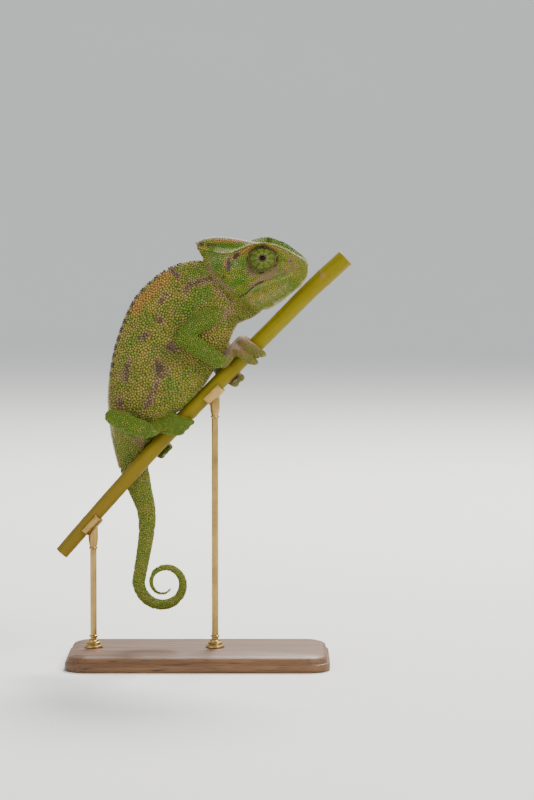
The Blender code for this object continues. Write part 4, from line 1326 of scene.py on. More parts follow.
BODY_MARKS = (
    *marks(
        Tint.TAN,
        (((-12.0, 141.0), (-17.0, 136.0)), 3.2, 0.55, 0.9),
        (((-27.0, 131.4), (-31.2, 121.9), (-32.0, 112.0)), 3.2, 0.65),
        (((-19.5, 119.4), (-15.3, 116.4)), 3.0, 0.8, 0.9),
        (((-17.1, 108.8), (-11.0, 112.0), (-4.5, 117.4)), 3.4, 0.5, 1.2),
        (((-22.0, 112.0), (-23.0, 103.0)), 3.0, 0.4, 1.2), (((7.0, 124.0), (12.0, 127.0)), 2.6, 0.5, 1.0),
    ),
    *marks(
        Tint.GREEN,
        (((-19.0, 132.0), (-26.0, 119.0)), 3.4, 0.5, 1.2),
        (((-8.6, 104.6), (-10.5, 109.0)), 2.8, 0.6, 1.0),
        (((2.0, 140.0), (-3.0, 137.0), (-7.0, 135.0)), 4.2, 0.7, 0.9),
        (((-2.0, 149.0), (1.5, 150.0)), 2.4, 0.7), (((-28.0, 84.0), (-26.0, 76.0)), 3.0, 0.5, 1.0),
    ),
    *marks(
        Tint.DARK,
        (((-10.3, 121.6), (-9.2, 120.0)), 1.9, 0.58), (((-14.8, 114.6), (-13.6, 111.6)), 2.5, 0.61),
        (((-15.6, 107.0), (-17.2, 103.0), (-19.6, 98.4)), 1.3, 0.43),
        (((-26.6, 113.8), (-27.2, 109.2)), 1.5, 0.54), (((-18.6, 126.0), (-21.3, 124.4)), 1.5, 0.54),
        (((-29.6, 101.0), (-29.2, 98.0)), 1.3, 0.5), (((-15.2, 131.6), (-14.2, 131.3)), 1.2, 0.58),
        (((-5.0, 142.1), (-3.1, 144.4), (0.6, 145.9), (5.6, 146.9)), 1.1, 0.54),
        (((-13.8, 138.3), (-11.8, 140.9)), 1.2, 0.43), (((-9.0, 150.4), (-7.9, 147.6)), 1.3, 0.5),
        (((-1.4, 132.8), (-4.4, 130.6)), 1.0, 0.43),
    ),
    *marks(
        Tint.PINK,
        (((-15.0, 110.0), (-16.7, 103.8), (-19.5, 98.7)), 1.9, 0.75),
        (((-25.6, 116.4), (-25.9, 115.0)), 1.6, 0.7),
        (((2.5, 127.7), (5.8, 130.0), (11.6, 134.6)), 1.9, 0.8),
        (((7.1, 142.8), (9.7, 140.9), (12.5, 138.5)), 1.3, 0.6),
        (((-24.6, 88.4), (-22.0, 86.0), (-20.4, 84.2)), 3.0, 0.85),
    ),
    *marks(
        Tint.ORANGE,
        (((-11.4, 147.8), (-12.9, 146.2), (-17.6, 142.0), (-21.8, 138.0), (-24.0, 134.8)), 2.6, 0.75),
    ),
)


def lift(tints: Array, where: Array, tint: Tint, share: Array | float) -> None:
    """Raises a tint's share where it is lower."""
    tints[where, tint.value] = np.maximum(tints[where, tint.value], share)


@dataclass
class Markings:
    """The colours of the hide, worked out at each point from the marks of its part."""

    hide: Hide
    halo: float = 1.35
    back_dots: int = 16

    def __post_init__(self) -> None:
        """Takes the hide's points, in the model and in the head's frame, and its parts."""
        self.points = self.hide.surface.points
        self.local = moved(self.points, head_matrix().inverted())
        self.head = self.hide.part_mask(Part.HEAD)
        self.body = self.hide.part_mask(Part.BODY, Part.TAIL)
        self.limb = self.hide.part_mask(Part.LIMB)
        self.foot = self.hide.part_mask(Part.FOOT)

    def paint(self) -> Array:
        """One row of tint shares for each point of the hide."""
        tints = np.zeros((len(self.points), len(Tint)))
        spots = [m for m in BODY_MARKS if m.tint is Tint.DARK]
        halos = tuple(Mark(Tint.PINK, m.line, m.width * self.halo, 0.75, 0.8) for m in spots)
        self.lay(tints, self.head, self.local, HEAD_MARKS)
        self.lay(tints, self.body, self.points, BODY_MARKS + halos)
        self.ground(tints)
        self.lay_ridges(tints)
        self.shade_crown(tints)
        self.lay_edges(tints)
        self.lay_eyes(tints)
        return self.blended(tints)

    def lay(self, tints: Array, where: Array, places: Array, strokes: tuple[Mark, ...]) -> None:
        """Lays strokes over the points of a part, each with a ragged edge, and askew on the left side."""
        flat = places[where][:, (0, 2)].copy()
        left = places[where][:, 1] > 0
        flat[left] += (1.2, -0.9)
        torn = mottle(places[where], 1.3, 21) - 0.5
        for mark in strokes:
            distance = line_distance(flat, mark.line) / mark.width + torn * mark.ragged * 1.6
            lift(tints, where, mark.tint, mark.strength * ramp(-distance, -1.15, -0.35))

    def ground(self, tints: Array) -> None:
        """The ground colours of each part, mottled, with a painted highlight on the hands' faces that turn up
        and back.
        """
        head, body, limb, foot = self.head, self.body, self.limb, self.foot
        green, tan, pink, orange = (Tint[n].value for n in ("GREEN", "TAN", "PINK", "ORANGE"))
        blots, fine = mottle(self.points, 2.6, 11), mottle(self.points, 1.0, 12)
        tints[limb, green] = 0.52 + 0.3 * (blots[limb] - 0.5)
        tints[foot, green] = 0.50 + 0.3 * (blots[foot] - 0.5)
        lift(tints, body, Tint.TAN, 0.16 + 0.3 * ramp(blots[body], 0.5, 0.8))
        lift(tints, body, Tint.GREEN, 0.12 + 0.3 * ramp(-blots[body], -0.48, -0.2))
        lift(tints, body, Tint.PINK, 0.07 + 0.12 * ramp(fine[body], 0.5, 0.9))
        lift(tints, head, Tint.GREEN, 0.25 + 0.35 * ramp(blots[head], 0.4, 0.8))
        lift(tints, head, Tint.TAN, 0.12 + 0.25 * ramp(-blots[head], -0.45, -0.2))
        tints[limb, pink] = 0.10 * ramp(fine[limb], 0.5, 0.9)
        tail = self.hide.part_mask(Part.TAIL)
        bands = 0.5 + 0.5 * np.sin(self.hide.phase[tail] * 0.36 + 1.2)
        tints[tail, tan] = 0.45 * ramp(bands, 0.55, 0.95) * (0.5 + blots[tail])
        tints[tail, green] = 0.42
        # On the hands the colour follows which way each face turns, up and back: green below, orange and pink
        # above as their own colours, and pale on top as a painted highlight.
        hand = self.hide.on("hand")
        up = (self.hide.normal[:, 2] - 0.55 * self.hide.normal[:, 0])[hand]
        tints[hand, green] = 0.50 - 0.26 * ramp(up, -0.1, 0.5)
        tints[hand, orange] = 0.16 + 0.38 * ramp(up, -0.1, 0.7)
        tints[hand, pink] = 0.20 + 0.5 * ramp(up, -0.1, 0.7)
        tints[hand, Tint.PALE.value] = 0.3 * ramp(up, 0.5, 1.0)

    def lay_ridges(self, tints: Array) -> None:
        """The pale rows of the brows, the casque's crest and the throat. On the brows the pale is a painted
        highlight, stronger on the right side; on the throat it is the crest's own pale, strengthened as
        painted rim light.
        """
        head = self.head
        outer = tuple((x, y + 0.2, z + 0.5) for x, y, z in BROW[:8])
        # Painted highlight on the brows' outer rows: 0.8 on the right side, 0.3 on the left.
        lit = np.where(self.local[head, 1] > 0, 0.3, 0.8)
        for share, places, line, width in (
            (lit, mirrored(self.local), outer, 0.5),
            (0.85, self.local, CASQUE_CREST, 0.6),
            (0.85, self.local, THROAT_KEEL, 1.1),
        ):
            lift(tints, head, Tint.PALE, share * bell(line_distance(places[head], line), width))
        tints[head, Tint.ORANGE.value] *= 1.0 - 0.5 * ramp(tints[head, Tint.PALE.value], 0.2, 0.8)

    def shade_crown(self, tints: Array) -> None:
        """The green crown between the brows, with a painted highlight on its right half towards the snout,
        and the green left brow, partly painted sky light.
        """
        local = self.local
        inner = brow_at(local[:, 0], 1) - np.abs(local[:, 1])
        over = self.head & (local[:, 0] > 8.5) & (local[:, 2] > brow_at(local[:, 0], 2) - 2.0)
        crown = over & (inner > 0.5)
        tints[crown, Tint.ORANGE.value] *= 0.2
        tints[crown, Tint.TAN.value] *= 0.4
        tints[crown, Tint.GREEN.value] = 0.8
        # Painted highlight: the right half of the crown is paled towards the snout.
        snout = 0.3 * ramp(local[crown, 0], 16.0, 24.0) * ramp(-local[crown, 1], -2.5, 1.5)
        lift(tints, crown, Tint.PALE, snout)
        # The left brow is green with little orange: partly its own colour, partly the sky light on that side
        # painted in as green.
        left = over & (local[:, 1] > 0) & (inner > -0.5)
        tints[left, Tint.ORANGE.value] *= 0.15
        tints[left, Tint.GREEN.value] = 0.85

    def lay_edges(self, tints: Array) -> None:
        """The pale edges of back and belly, their crests' own pale beads strengthened as painted rim light,
        and the dark dots along the back.
        """
        points = self.points[self.body]
        flat = points[:, (0, 2)]
        # Pale along the back and belly edges: the crests' own colour with painted rim light.
        for edge, strength in ((BACK_EDGE, 0.6), (BELLY_EDGE, 0.5)):
            near = strength * bell(line_distance(flat, edge), 0.9) * bell(points[:, 1], 0.8)
            lift(tints, self.body, Tint.PALE, near)
        middles = spaced(BACK_EDGE, 3.5)[None, : self.back_dots]
        dots = norm(flat[:, None] - middles, axis=2).min(axis=1)
        dots = ramp(-dots, -1.5, -1.0) * ramp(points[:, 2], 96.0, 116.0) * bell(points[:, 1], 2.6)
        tints[self.body, Tint.PALE.value] *= 1.0 - dots
        lift(tints, self.body, Tint.DARK, dots)

    def lay_eyes(self, tints: Array) -> None:
        """The rings and spokes of the turrets of lids."""
        for side in (-1, 1):
            radius, angle, height = self.hide.pattern.frame(self.points, side)
            on = (height > -1.2) & (radius < 5.85) & self.hide.lids
            tints[on] = 0.0
            tints[on, Tint.GREEN.value] = 0.55
            tints[on, Tint.TAN.value] = 0.35 * ramp(mottle(self.points[on], 1.4, 31), 0.4, 0.8)
            for tint, share in self.hide.pattern.tints(radius[on], angle[on]):
                lift(tints, on, tint, share)

    def blended(self, tints: Array) -> Array:
        """The ground of limbs and feet runs softly into the body's."""
        soft = self.hide.surface.blur(tints, 10)
        edge = self.hide.surface.blur((self.limb | self.foot).astype(float), 10)
        share = np.clip(1.0 - np.abs(edge - 0.5) * 2.2, 0.0, 1.0)[:, None]
        return tints * (1 - share) + soft * share


# ---- the coat of scales


@dataclass
class Row:
    """Scales set along a given line or ring, before the rest fills in."""

    points: Array
    spacing: float
    rise: float
    pale: float = 0.0


@dataclass
class Coat:
    """The scales: closed domes, each fitted to its neighbours, over the whole hide."""

    hide: Hide
    sides: int = 7
    fill: float = 0.96
    open_limbs: float = 0.045
    tries: int = 8
    limit: int = 190_000
    closest: float = 0.775
    narrowest: float = 0.30
    widest: float = 0.60
    crisp: float = 0.45
    pushers: int = 7
    bounders: int = 10
    first_ring: float = 1.42
    last_ring: float = 5.35
    smallest: float = 0.86
    size_range: float = 0.3
    tree: BVHTree = field(init=False)
    fixed_count: int = field(init=False)
    points: Array = field(init=False)
    spacing: Array = field(init=False)
    rise: Array = field(init=False)
    extra_pale: Array = field(init=False)
    normal: Array = field(init=False)
    tri: Array = field(init=False)
    share: Array = field(init=False)

    GROUPS: ClassVar = {
        "scales_head": ("head", "casque"), "scales_jaw": ("lower_jaw",), "scales_lids": ("eye_turret",),
        "scales_neck": ("neck",), "scales_trunk": ("trunk",), "scales_pelvis": ("pelvis",),
        "scales_tail": ("tail",), "scales_arms": ("upper_arm", "forearm"), "scales_legs": ("thigh", "shin"),
        "scales_hands": ("hand",), "scales_feet": ("foot",),
    }

    def build(self, material: Material) -> None:
        """Sets the scales out, shapes them and makes their pieces."""
        self.tree = self.hide.surface.tree()
        self.scatter(self.rows())
        self.relax()
        self.cut_groups(material)

    def rows(self) -> list[Row]:
        """The scales that follow the ridges, lips, lids, nostrils and crests."""
        upper_lip, lower_lip = (tuple((x, y, z + lift) for x, y, z in MOUTH[:9]) for lift in (0.72, -0.72))
        x, y, z = NOSTRIL
        nostril = [(x + 0.95 * math.cos(a), y, z + 0.95 * math.sin(a)) for a in around(9)]
        made = []
        for side in (-1, 1):
            for line, pitch, spacing, rise in (
                (BROW, 0.82, 0.84, 1.25), (POSTORBITAL, 0.84, 0.86, 1.1),
                (upper_lip, 0.62, 0.62, 0.9), (lower_lip, 0.62, 0.62, 0.9),
            ):
                made.append(Row(head_points(spaced(line, pitch), side), spacing, rise))
            made += self.lid_rings(side)
            made.append(Row(head_points(nostril, side), 0.62, 1.1))
        made.append(Row(head_points(spaced(CASQUE_CREST, 0.9), 1), 0.92, 1.5, 0.35))
        # The pale of the throat's, back's and belly's beads is partly their own colour and partly painted rim
        # light.
        made.append(Row(head_points(spaced(THROAT_KEEL, 0.8), 1), 0.84, 1.7, 0.8))
        made.append(Row(self.edge_points(BACK_EDGE, 0.92), 0.95, 1.7, 0.55))
        made.append(Row(self.edge_points(BELLY_EDGE, 0.9), 0.92, 1.3, 0.4))
        return made

    def lid_rings(self, side: int) -> list[Row]:
        """Rings of small scales round the pinhole of one turret."""
        made = []
        radius = self.first_ring
        widths, heights = np.array(TURRET_PROFILE).T
        while radius < self.last_ring:
            size = 0.37 + 0.03 * radius
            count = round(2 * math.pi * radius / size)
            angles = (np.arange(count) + 0.5 * (len(made) % 2)) * (2 * math.pi / count)
            height, next_height = np.interp((radius, radius + size), widths, heights)
            ring = np.column_stack([radius * np.cos(angles), radius * np.sin(angles), np.full(count, height)])
            made.append(Row(moved(ring, eye_matrix(side)), size, 0.75))
            radius += 0.9 * size / math.hypot(1.0, abs(height - next_height) / size)
        return made

    def edge_points(self, edge: Line, pitch: float) -> Array:
        """Points on the hide's middle ridge beside a line of the side view."""
        return self.snapped(np.array([(x, self.middle_at(z), z) for x, z in spaced(edge, pitch)]))[0]

    @staticmethod
    def middle_at(z: float) -> float:
        """How far left the body's middle lies at a height: the tail root hangs beside the stem."""
        return float(np.interp(-z, (-98.4, -92.8, -87.2, -80.8, -73.9), (0.3, 0.9, 2.4, 5.0, 6.7)))

    def scatter(self, rows: list[Row]) -> None:
        """Sets the rows and fills the rest of the hide with scales, none too near another."""
        hide, surface = self.hide, self.hide.surface
        chance = np.random.default_rng(SEED)
        a, b, c = (surface.points[surface.tris[:, k]] for k in range(3))
        area = norm(np.cross(b - a, c - a), axis=1) / 2
        space = hide.spacing[surface.tris].mean(axis=1)
        in_pit = self.pit_mask()[surface.tris].all(axis=1)
        need = np.where(in_pit, 0.0, area / space**2)
        count = int(need.sum() * self.tries)
        picked = chance.choice(len(need), count, p=need / need.sum())
        share = chance.random((count, 2))
        over = share.sum(axis=1) > 1
        share[over] = 1 - share[over]
        loose = a[picked] + share[:, :1] * (b - a)[picked] + share[:, 1:] * (c - a)[picked]
        loose_size = space[picked] * (self.smallest + self.size_range * chance.random(count))
        fixed = [self.snapped(row.points) for row in rows]
        points = np.concatenate([f[0] for f in fixed] + [loose])
        normals = np.concatenate([f[1] for f in fixed] + [hide.normal[surface.tris[picked, 0]]])
        size, rise, pale = (
            np.concatenate([np.full(len(row.points), getattr(row, name)) for row in rows] + [rest])
            for name, rest in (("spacing", loose_size), ("rise", np.ones(count)), ("pale", np.zeros(count)))
        )
        kept = self.thinned(points, normals, size)
        self.fixed_count = int((kept < len(points) - count).sum())
        self.points, self.normal, self.spacing = points[kept], normals[kept], size[kept]
        self.rise, self.extra_pale = rise[kept], pale[kept]

    def pit_mask(self) -> Array:
        """The hide of the lids, where only the rings' scales grow."""
        mask = np.zeros(len(self.hide.surface.points), bool)
        for side in (-1, 1):
            radius, _, height = self.hide.pattern.frame(self.hide.surface.points, side)
            mask |= (height > 0) & (radius < 5.3)
            mask |= (np.abs(height) < 2.0) & (radius < 5.95) & (radius > 5.2)
        return mask & self.hide.lids

    def snapped(self, points: Array) -> tuple[Array, Array]:
        """The nearest places on the hide and the directions out of it there."""
        found = [self.tree.find_nearest(p) for p in points.tolist()]
        return np.array([tuple(f[0]) for f in found]), np.array([tuple(f[1]) for f in found])

    def thinned(self, points: Array, normals: Array, size: Array) -> Array:
        """Which points stay when none may be nearer to an earlier one than its spacing allows."""
        tree = search_tree(points)
        taken = bytearray(len(points))
        kept = []
        ways = normals.tolist()
        for k, point in enumerate(points.tolist()):
            if taken[k]:
                continue
            kept.append(k)
            nx, ny, nz = ways[k]
            for _, other, _ in tree.find_range(point, self.closest * size[k]):
                ox, oy, oz = ways[other]
                if nx * ox + ny * oy + nz * oz > 0.1:
                    taken[other] = 1
        return np.array(kept)

    def neighbours(self, count: int) -> Array:
        """Each scale's nearest others."""
        tree = search_tree(self.points)
        near = [[other for _, other, _ in tree.find_n(p, count + 1)][1:] for p in self.points.tolist()]
        return np.array(near)

    def relax(self, rounds: int = 4) -> None:
        """Evens the scales out, and draws the body's into rows across its length."""
        hide = self.hide
        free = np.arange(len(self.points)) >= self.fixed_count
        for turn in range(rounds + 1):
            self.locate()
            if turn == rounds:
                break
            near = self.neighbours(self.pushers)
            away = self.points[:, None] - self.points[near]
            gap = norm(away, axis=2)
            reach = 0.55 * (self.spacing[:, None] + self.spacing[near]) * 1.08
            same = (self.normal[:, None] * self.normal[near]).sum(axis=2) > 0
            push = np.clip(1.0 - gap / reach, 0.0, 1.0) * same
            push = (push * self.spacing[:, None])[..., None]
            step = (away / np.maximum(gap, 1e-6)[..., None] * push).sum(axis=1) * 0.5
            phase = self.sample(hide.phase)
            rowed = self.sample(self.row_strength())
            slip = (np.round(phase) - phase) * ROW_PITCH * self.spacing * rowed * 0.5
            step += self.sample(hide.flow) * slip[:, None]
            self.points = self.points + step * free[:, None]

    def row_strength(self) -> Array:
        """How strongly the scales keep to rows: on the body and tail."""
        body = self.hide.part_mask(Part.BODY).astype(float) * 0.8
        tail = self.hide.part_mask(Part.TAIL).astype(float)
        return self.hide.surface.blur(body + tail, 6)

    def locate(self) -> None:
        """Puts the scales back on the hide and notes the triangle and place of each."""
        surface = self.hide.surface
        found = [self.tree.find_nearest(p) for p in self.points.tolist()]
        self.points = np.array([tuple(f[0]) for f in found])
        self.tri = np.array([f[2] for f in found])
        corners = surface.points[surface.tris[self.tri]]
        first, second = corners[:, 1] - corners[:, 0], corners[:, 2] - corners[:, 0]
        to = self.points - corners[:, 0]
        d00, d01, d11 = (first**2).sum(1), (first * second).sum(1), (second**2).sum(1)
        d20, d21 = (to * first).sum(1), (to * second).sum(1)
        base = np.maximum(d00 * d11 - d01 * d01, 1e-12)
        v, w = (d11 * d20 - d01 * d21) / base, (d00 * d21 - d01 * d20) / base
        self.share = np.clip(np.stack([1 - v - w, v, w], axis=1), 0.0, 1.0)
        self.normal = unit(self.sample(self.hide.normal))

    def sample(self, values: Array) -> Array:
        """Values of the hide's points, read at each scale's place."""
        corners = values[self.hide.surface.tris[self.tri]]
        weights = self.share if corners.ndim == 2 else self.share[..., None]
        return (corners * weights).sum(axis=1)

    def outlines(self) -> tuple[Array, Array, Array]:
        """Each scale's reach in every direction, and the two directions in its plane.

        Returns:
            The reaches, the directions along the lie of the coat and those across it.
        """
        flow = self.sample(self.hide.flow)
        along = unit(flow - (flow * self.normal).sum(axis=1, keepdims=True) * self.normal)
        across = np.cross(self.normal, along)
        near = self.neighbours(self.bounders)
        offset = self.points[near] - self.points[:, None]
        u = (offset * along[:, None]).sum(axis=2)
        v = (offset * across[:, None]).sum(axis=2)
        flat = np.hypot(u, v)
        chance = np.random.default_rng(SEED + 1)
        weight = self.spacing * (1 + 0.16 * (chance.random(len(self.points)) - 0.5))
        balance = 2 * weight[:, None] / (weight[:, None] + weight[near])
        facing = (self.normal[:, None] * self.normal[near]).sum(axis=2) > -0.2
        reach = np.empty((len(self.points), self.sides))
        for k, angle in enumerate(around(self.sides)):
            toward = u * math.cos(angle) + v * math.sin(angle)
            ahead = (toward > 0.15 * flat) & facing & (flat > 1e-6)
            bound = np.where(ahead, balance * flat**2 / (2 * np.maximum(toward, 1e-6)), np.inf)
            reach[:, k] = bound.min(axis=1)
        spacing = self.spacing[:, None]
        reach = np.clip(reach, self.narrowest * spacing, self.widest * spacing)
        fill = self.fill - self.open_limbs * self.share_of(Part.LIMB, Part.FOOT)
        return reach * fill[:, None], along, across

    def share_of(self, *parts: Part) -> Array:
        """How much of each scale's place is in any of these parts."""
        return self.sample(self.hide.part_mask(*parts).astype(float))

    def cut_groups(self, material: Material) -> None:
        """Shapes all scales and makes a piece, or a few, for each group of parts."""
        hide = self.hide
        reach, along, across = self.outlines()
        tints = self.taken_up(self.sample(hide.tints))
        tone = self.tones()
        label = hide.label[hide.surface.tris[self.tri, 0]]
        uv = (hide.uv[self.tri] * self.share[..., None]).sum(axis=1)
        shape = Dome(self.sides)
        for piece, prefixes in self.GROUPS.items():
            wanted = np.array([n.startswith(prefixes) for n in hide.names])[label]
            chosen = np.nonzero(wanted)[0]
            pieces = max(1, math.ceil(len(chosen) * len(shape.faces) / self.limit))
            order = chosen[np.argsort(self.points[chosen, 2], kind="stable")]
            for number, some in enumerate(np.array_split(order, pieces)):
                name = piece if pieces == 1 else f"{piece}_{number + 1}"
                points, dome = shape.place(
                    self.points[some], self.normal[some], along[some], across[some], reach[some],
                    self.rise[some] * self.spacing[some],
                )
                obj = new_mesh(name, points, shape.all_faces(len(some)))
                own_tints, own_tones = (np.repeat(v[some], shape.corners, axis=0) for v in (tints, tone))
                Hide.store(obj, own_tints, own_tones, dome)
                shape.unwrap(obj, uv[some])
                finished(obj, material)

    def taken_up(self, tints: Array) -> Array:
        """Each scale takes up a marking whole or hardly at all, as real scales do.

        Args:
            tints: the shares of the hide under each scale.

        Returns:
            The shares of the scales.
        """
        chance = np.random.default_rng(SEED + 3)
        dice = chance.random(tints.shape)
        whole = ramp(tints - dice, -0.15, 0.15)
        taken = np.clip((1 - self.crisp) * tints + self.crisp * whole, 0.0, 1.0)
        on_lids = self.sample(self.hide.on_lids.astype(float)) > 0.5
        taken[on_lids] = tints[on_lids]
        pale = Tint.PALE.value
        beads = self.extra_pale * (0.35 + 0.9 * chance.random(len(tints)))
        beads *= 1.0 - ramp(tints[:, Tint.DARK.value], 0.2, 0.6)
        soft = 0.55 * tints[:, pale] + 0.35 * taken[:, pale]
        taken[:, pale] = np.maximum(soft, beads)
        return taken

    def tones(self) -> Array:
        """How light each scale's ground colour is: random, with drifts over the body."""
        chance = np.random.default_rng(SEED + 2)
        drift = mottle(self.points, 6.0, 3) * 0.5 + mottle(self.points, 1.6, 4) * 0.5
        limb = self.share_of(Part.LIMB, Part.FOOT)
        tone = 0.5 + 1.0 * (drift - 0.5) + (0.62 + 0.5 * limb) * (chance.random(len(self.points)) - 0.5)
        neck = self.hide.surface.blur(self.hide.on("neck").astype(float), 8)
        for shift, share in (
            (0.30, self.sample(self.hide.lids.astype(float))), (0.18, self.share_of(Part.HEAD)),
            (-0.16, self.sample(neck)), (0.25, self.share_of(Part.TAIL)), (-0.28, limb),
        ):
            tone += shift * share
        return np.clip(tone, 0, 1)


@dataclass
class Dome:
    """The shape of one scale: rings from its sunk rim to its top, leaning with the coat."""

    sides: int
    rings: tuple[tuple[float, float], ...] = ((0.94, -0.22), (1.0, 0.10), (0.72, 0.32))
    top: float = 0.40
    lean: float = 0.10
    patch: float = 0.0015
    faces: Array = field(init=False)

    def __post_init__(self) -> None:
        """Works out the triangles of one scale: sides, top and sunk floor."""
        faces = []
        last = len(self.rings) * self.sides
        for side in range(self.sides):
            ahead = (side + 1) % self.sides
            for low in range(0, last - self.sides, self.sides):
                high = low + self.sides
                faces += [(low + side, low + ahead, high + ahead), (low + side, high + ahead, high + side)]
            faces.append((last - self.sides + side, last - self.sides + ahead, last))
        faces += [(0, k + 1, k) for k in range(1, self.sides - 1)]
        self.faces = np.array(faces)

    @property
    def corners(self) -> int:
        """How many points one scale has."""
        return len(self.rings) * self.sides + 1

    def place(
        self, roots: Array, normal: Array, along: Array, across: Array, reach: Array, height: Array
    ) -> tuple[Array, Array]:
        """Every point of many scales, and how far up its scale each lies.

        Args:
            roots: the middles of the scales on the hide.
            normal: the directions out of the hide.
            along: the directions in which the coat lies.
            across: the directions across it.
            reach: how far each scale goes in every direction.
            height: the spacing that each scale's height is a share of.

        Returns:
            The points and the shares.
        """
        angles = around(self.sides)
        outward = along[:, None] * np.cos(angles)[:, None] + across[:, None] * np.sin(angles)[:, None]
        made, dome = [], []
        for wide, tall in self.rings:
            lifted = normal * (height * tall)[:, None] + along * (height * self.lean * max(tall, 0))[:, None]
            made.append(roots[:, None] + outward * (reach * wide)[..., None] + lifted[:, None])
            # How far up its scale each point lies: low points get the painted gap shade, the top the painted
            # highlight.
            dome.append(np.full((len(roots), self.sides), max(tall, 0.0) / self.top))
        top = roots + normal * (height * self.top)[:, None] + along * (height * self.lean)[:, None]
        made.append(top[:, None])
        dome.append(np.ones((len(roots), 1)))
        return np.concatenate(made, axis=1).reshape(-1, 3), np.concatenate(dome, axis=1).ravel()

    def all_faces(self, count: int) -> Array:
        """The triangles of many scales."""
        start = np.arange(count) * self.corners
        return (self.faces[None] + start[:, None, None]).reshape(-1, 3)

    def unwrap(self, obj: Object, roots: Array) -> None:
        """Gives each scale a small patch at its root's place on the hide's unwrap."""
        rim = circle(around(self.sides)) * self.patch
        rims = [rim * share for share in np.linspace(1.0, 0.45, len(self.rings))]
        own = np.concatenate([*rims, [[0.0, 0.0]]])
        corner = roots[:, None, None] + own[self.faces][None]
        layer = obj.data.uv_layers.new(name="OFBake")
        layer.data.foreach_set("uv", corner.astype(np.float32).ravel())


# ---- eyes, stem and stand


@dataclass
class Eyes:
    """The eyeballs in the pinholes and the thin rims of the lids round them."""

    ball_radius: float = 0.98
    ball_height: float = 4.47
    rim_radius: float = 1.14
    rim_height: float = 5.10
    rim_thickness: float = 0.10
    rim_beads: int = 8

    def build(self, eye: Material, hide: Material) -> None:
        """Makes both eyes."""
        for label, side in (("right", -1), ("left", 1)):
            self.make_ball("eyeball_" + label, "eye_" + label, side, eye)
            self.make_rim("lid_rim_" + label, side, hide)

    def make_ball(self, name: str, node: str, side: int, material: Material) -> None:
        """The eyeball, with the iris's share of the radius stored on it."""
        rows = np.linspace(-math.pi / 2, math.pi / 2, 17)
        profile = tuple((self.ball_radius * math.cos(a), self.ball_radius * math.sin(a)) for a in rows)
        points, faces = turned(profile, 28)
        ring = np.where(points[:, 2] > 0, np.hypot(points[:, 0], points[:, 1]) / self.ball_radius, 1.0)
        points[:, 2] += self.ball_height
        obj = new_mesh(name, moved(points, eye_matrix(side)), faces)
        set_values(obj, "iris", ring)
        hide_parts(node)
        finished(obj, material)

    def make_rim(self, name: str, side: int, material: Material) -> None:
        """A ring of beads round the pinhole, grown together."""
        major, minor = 64, 10
        turn, tube = around(major), around(minor)
        bead = self.rim_thickness * (0.82 + 0.3 * np.abs(np.sin(turn * self.rim_beads)))
        radial = self.rim_radius + bead[:, None] * np.cos(tube)
        height = self.rim_height + 0.9 * bead[:, None] * np.sin(tube)
        points = np.concatenate([radial[..., None] * circle(turn)[:, None], height[..., None]], axis=2)
        faces = tube_faces(major + 1, minor)[:, (0, 3, 2, 1)] % (major * minor)
        obj = new_mesh(name, moved(points.reshape(-1, 3), eye_matrix(side)), faces)
        tints = np.zeros((major * minor, len(Tint)))
        tints[:, Tint.DARK.value] = 0.8
        tints[:, Tint.TAN.value] = 0.6
        # The beads' undersides get the painted gap shade and their tops the painted highlight.
        dome = np.tile(0.55 + 0.45 * np.sin(tube), major)
        Hide.store(obj, tints, np.full(major * minor, 0.5), dome)
        finished(obj, material)


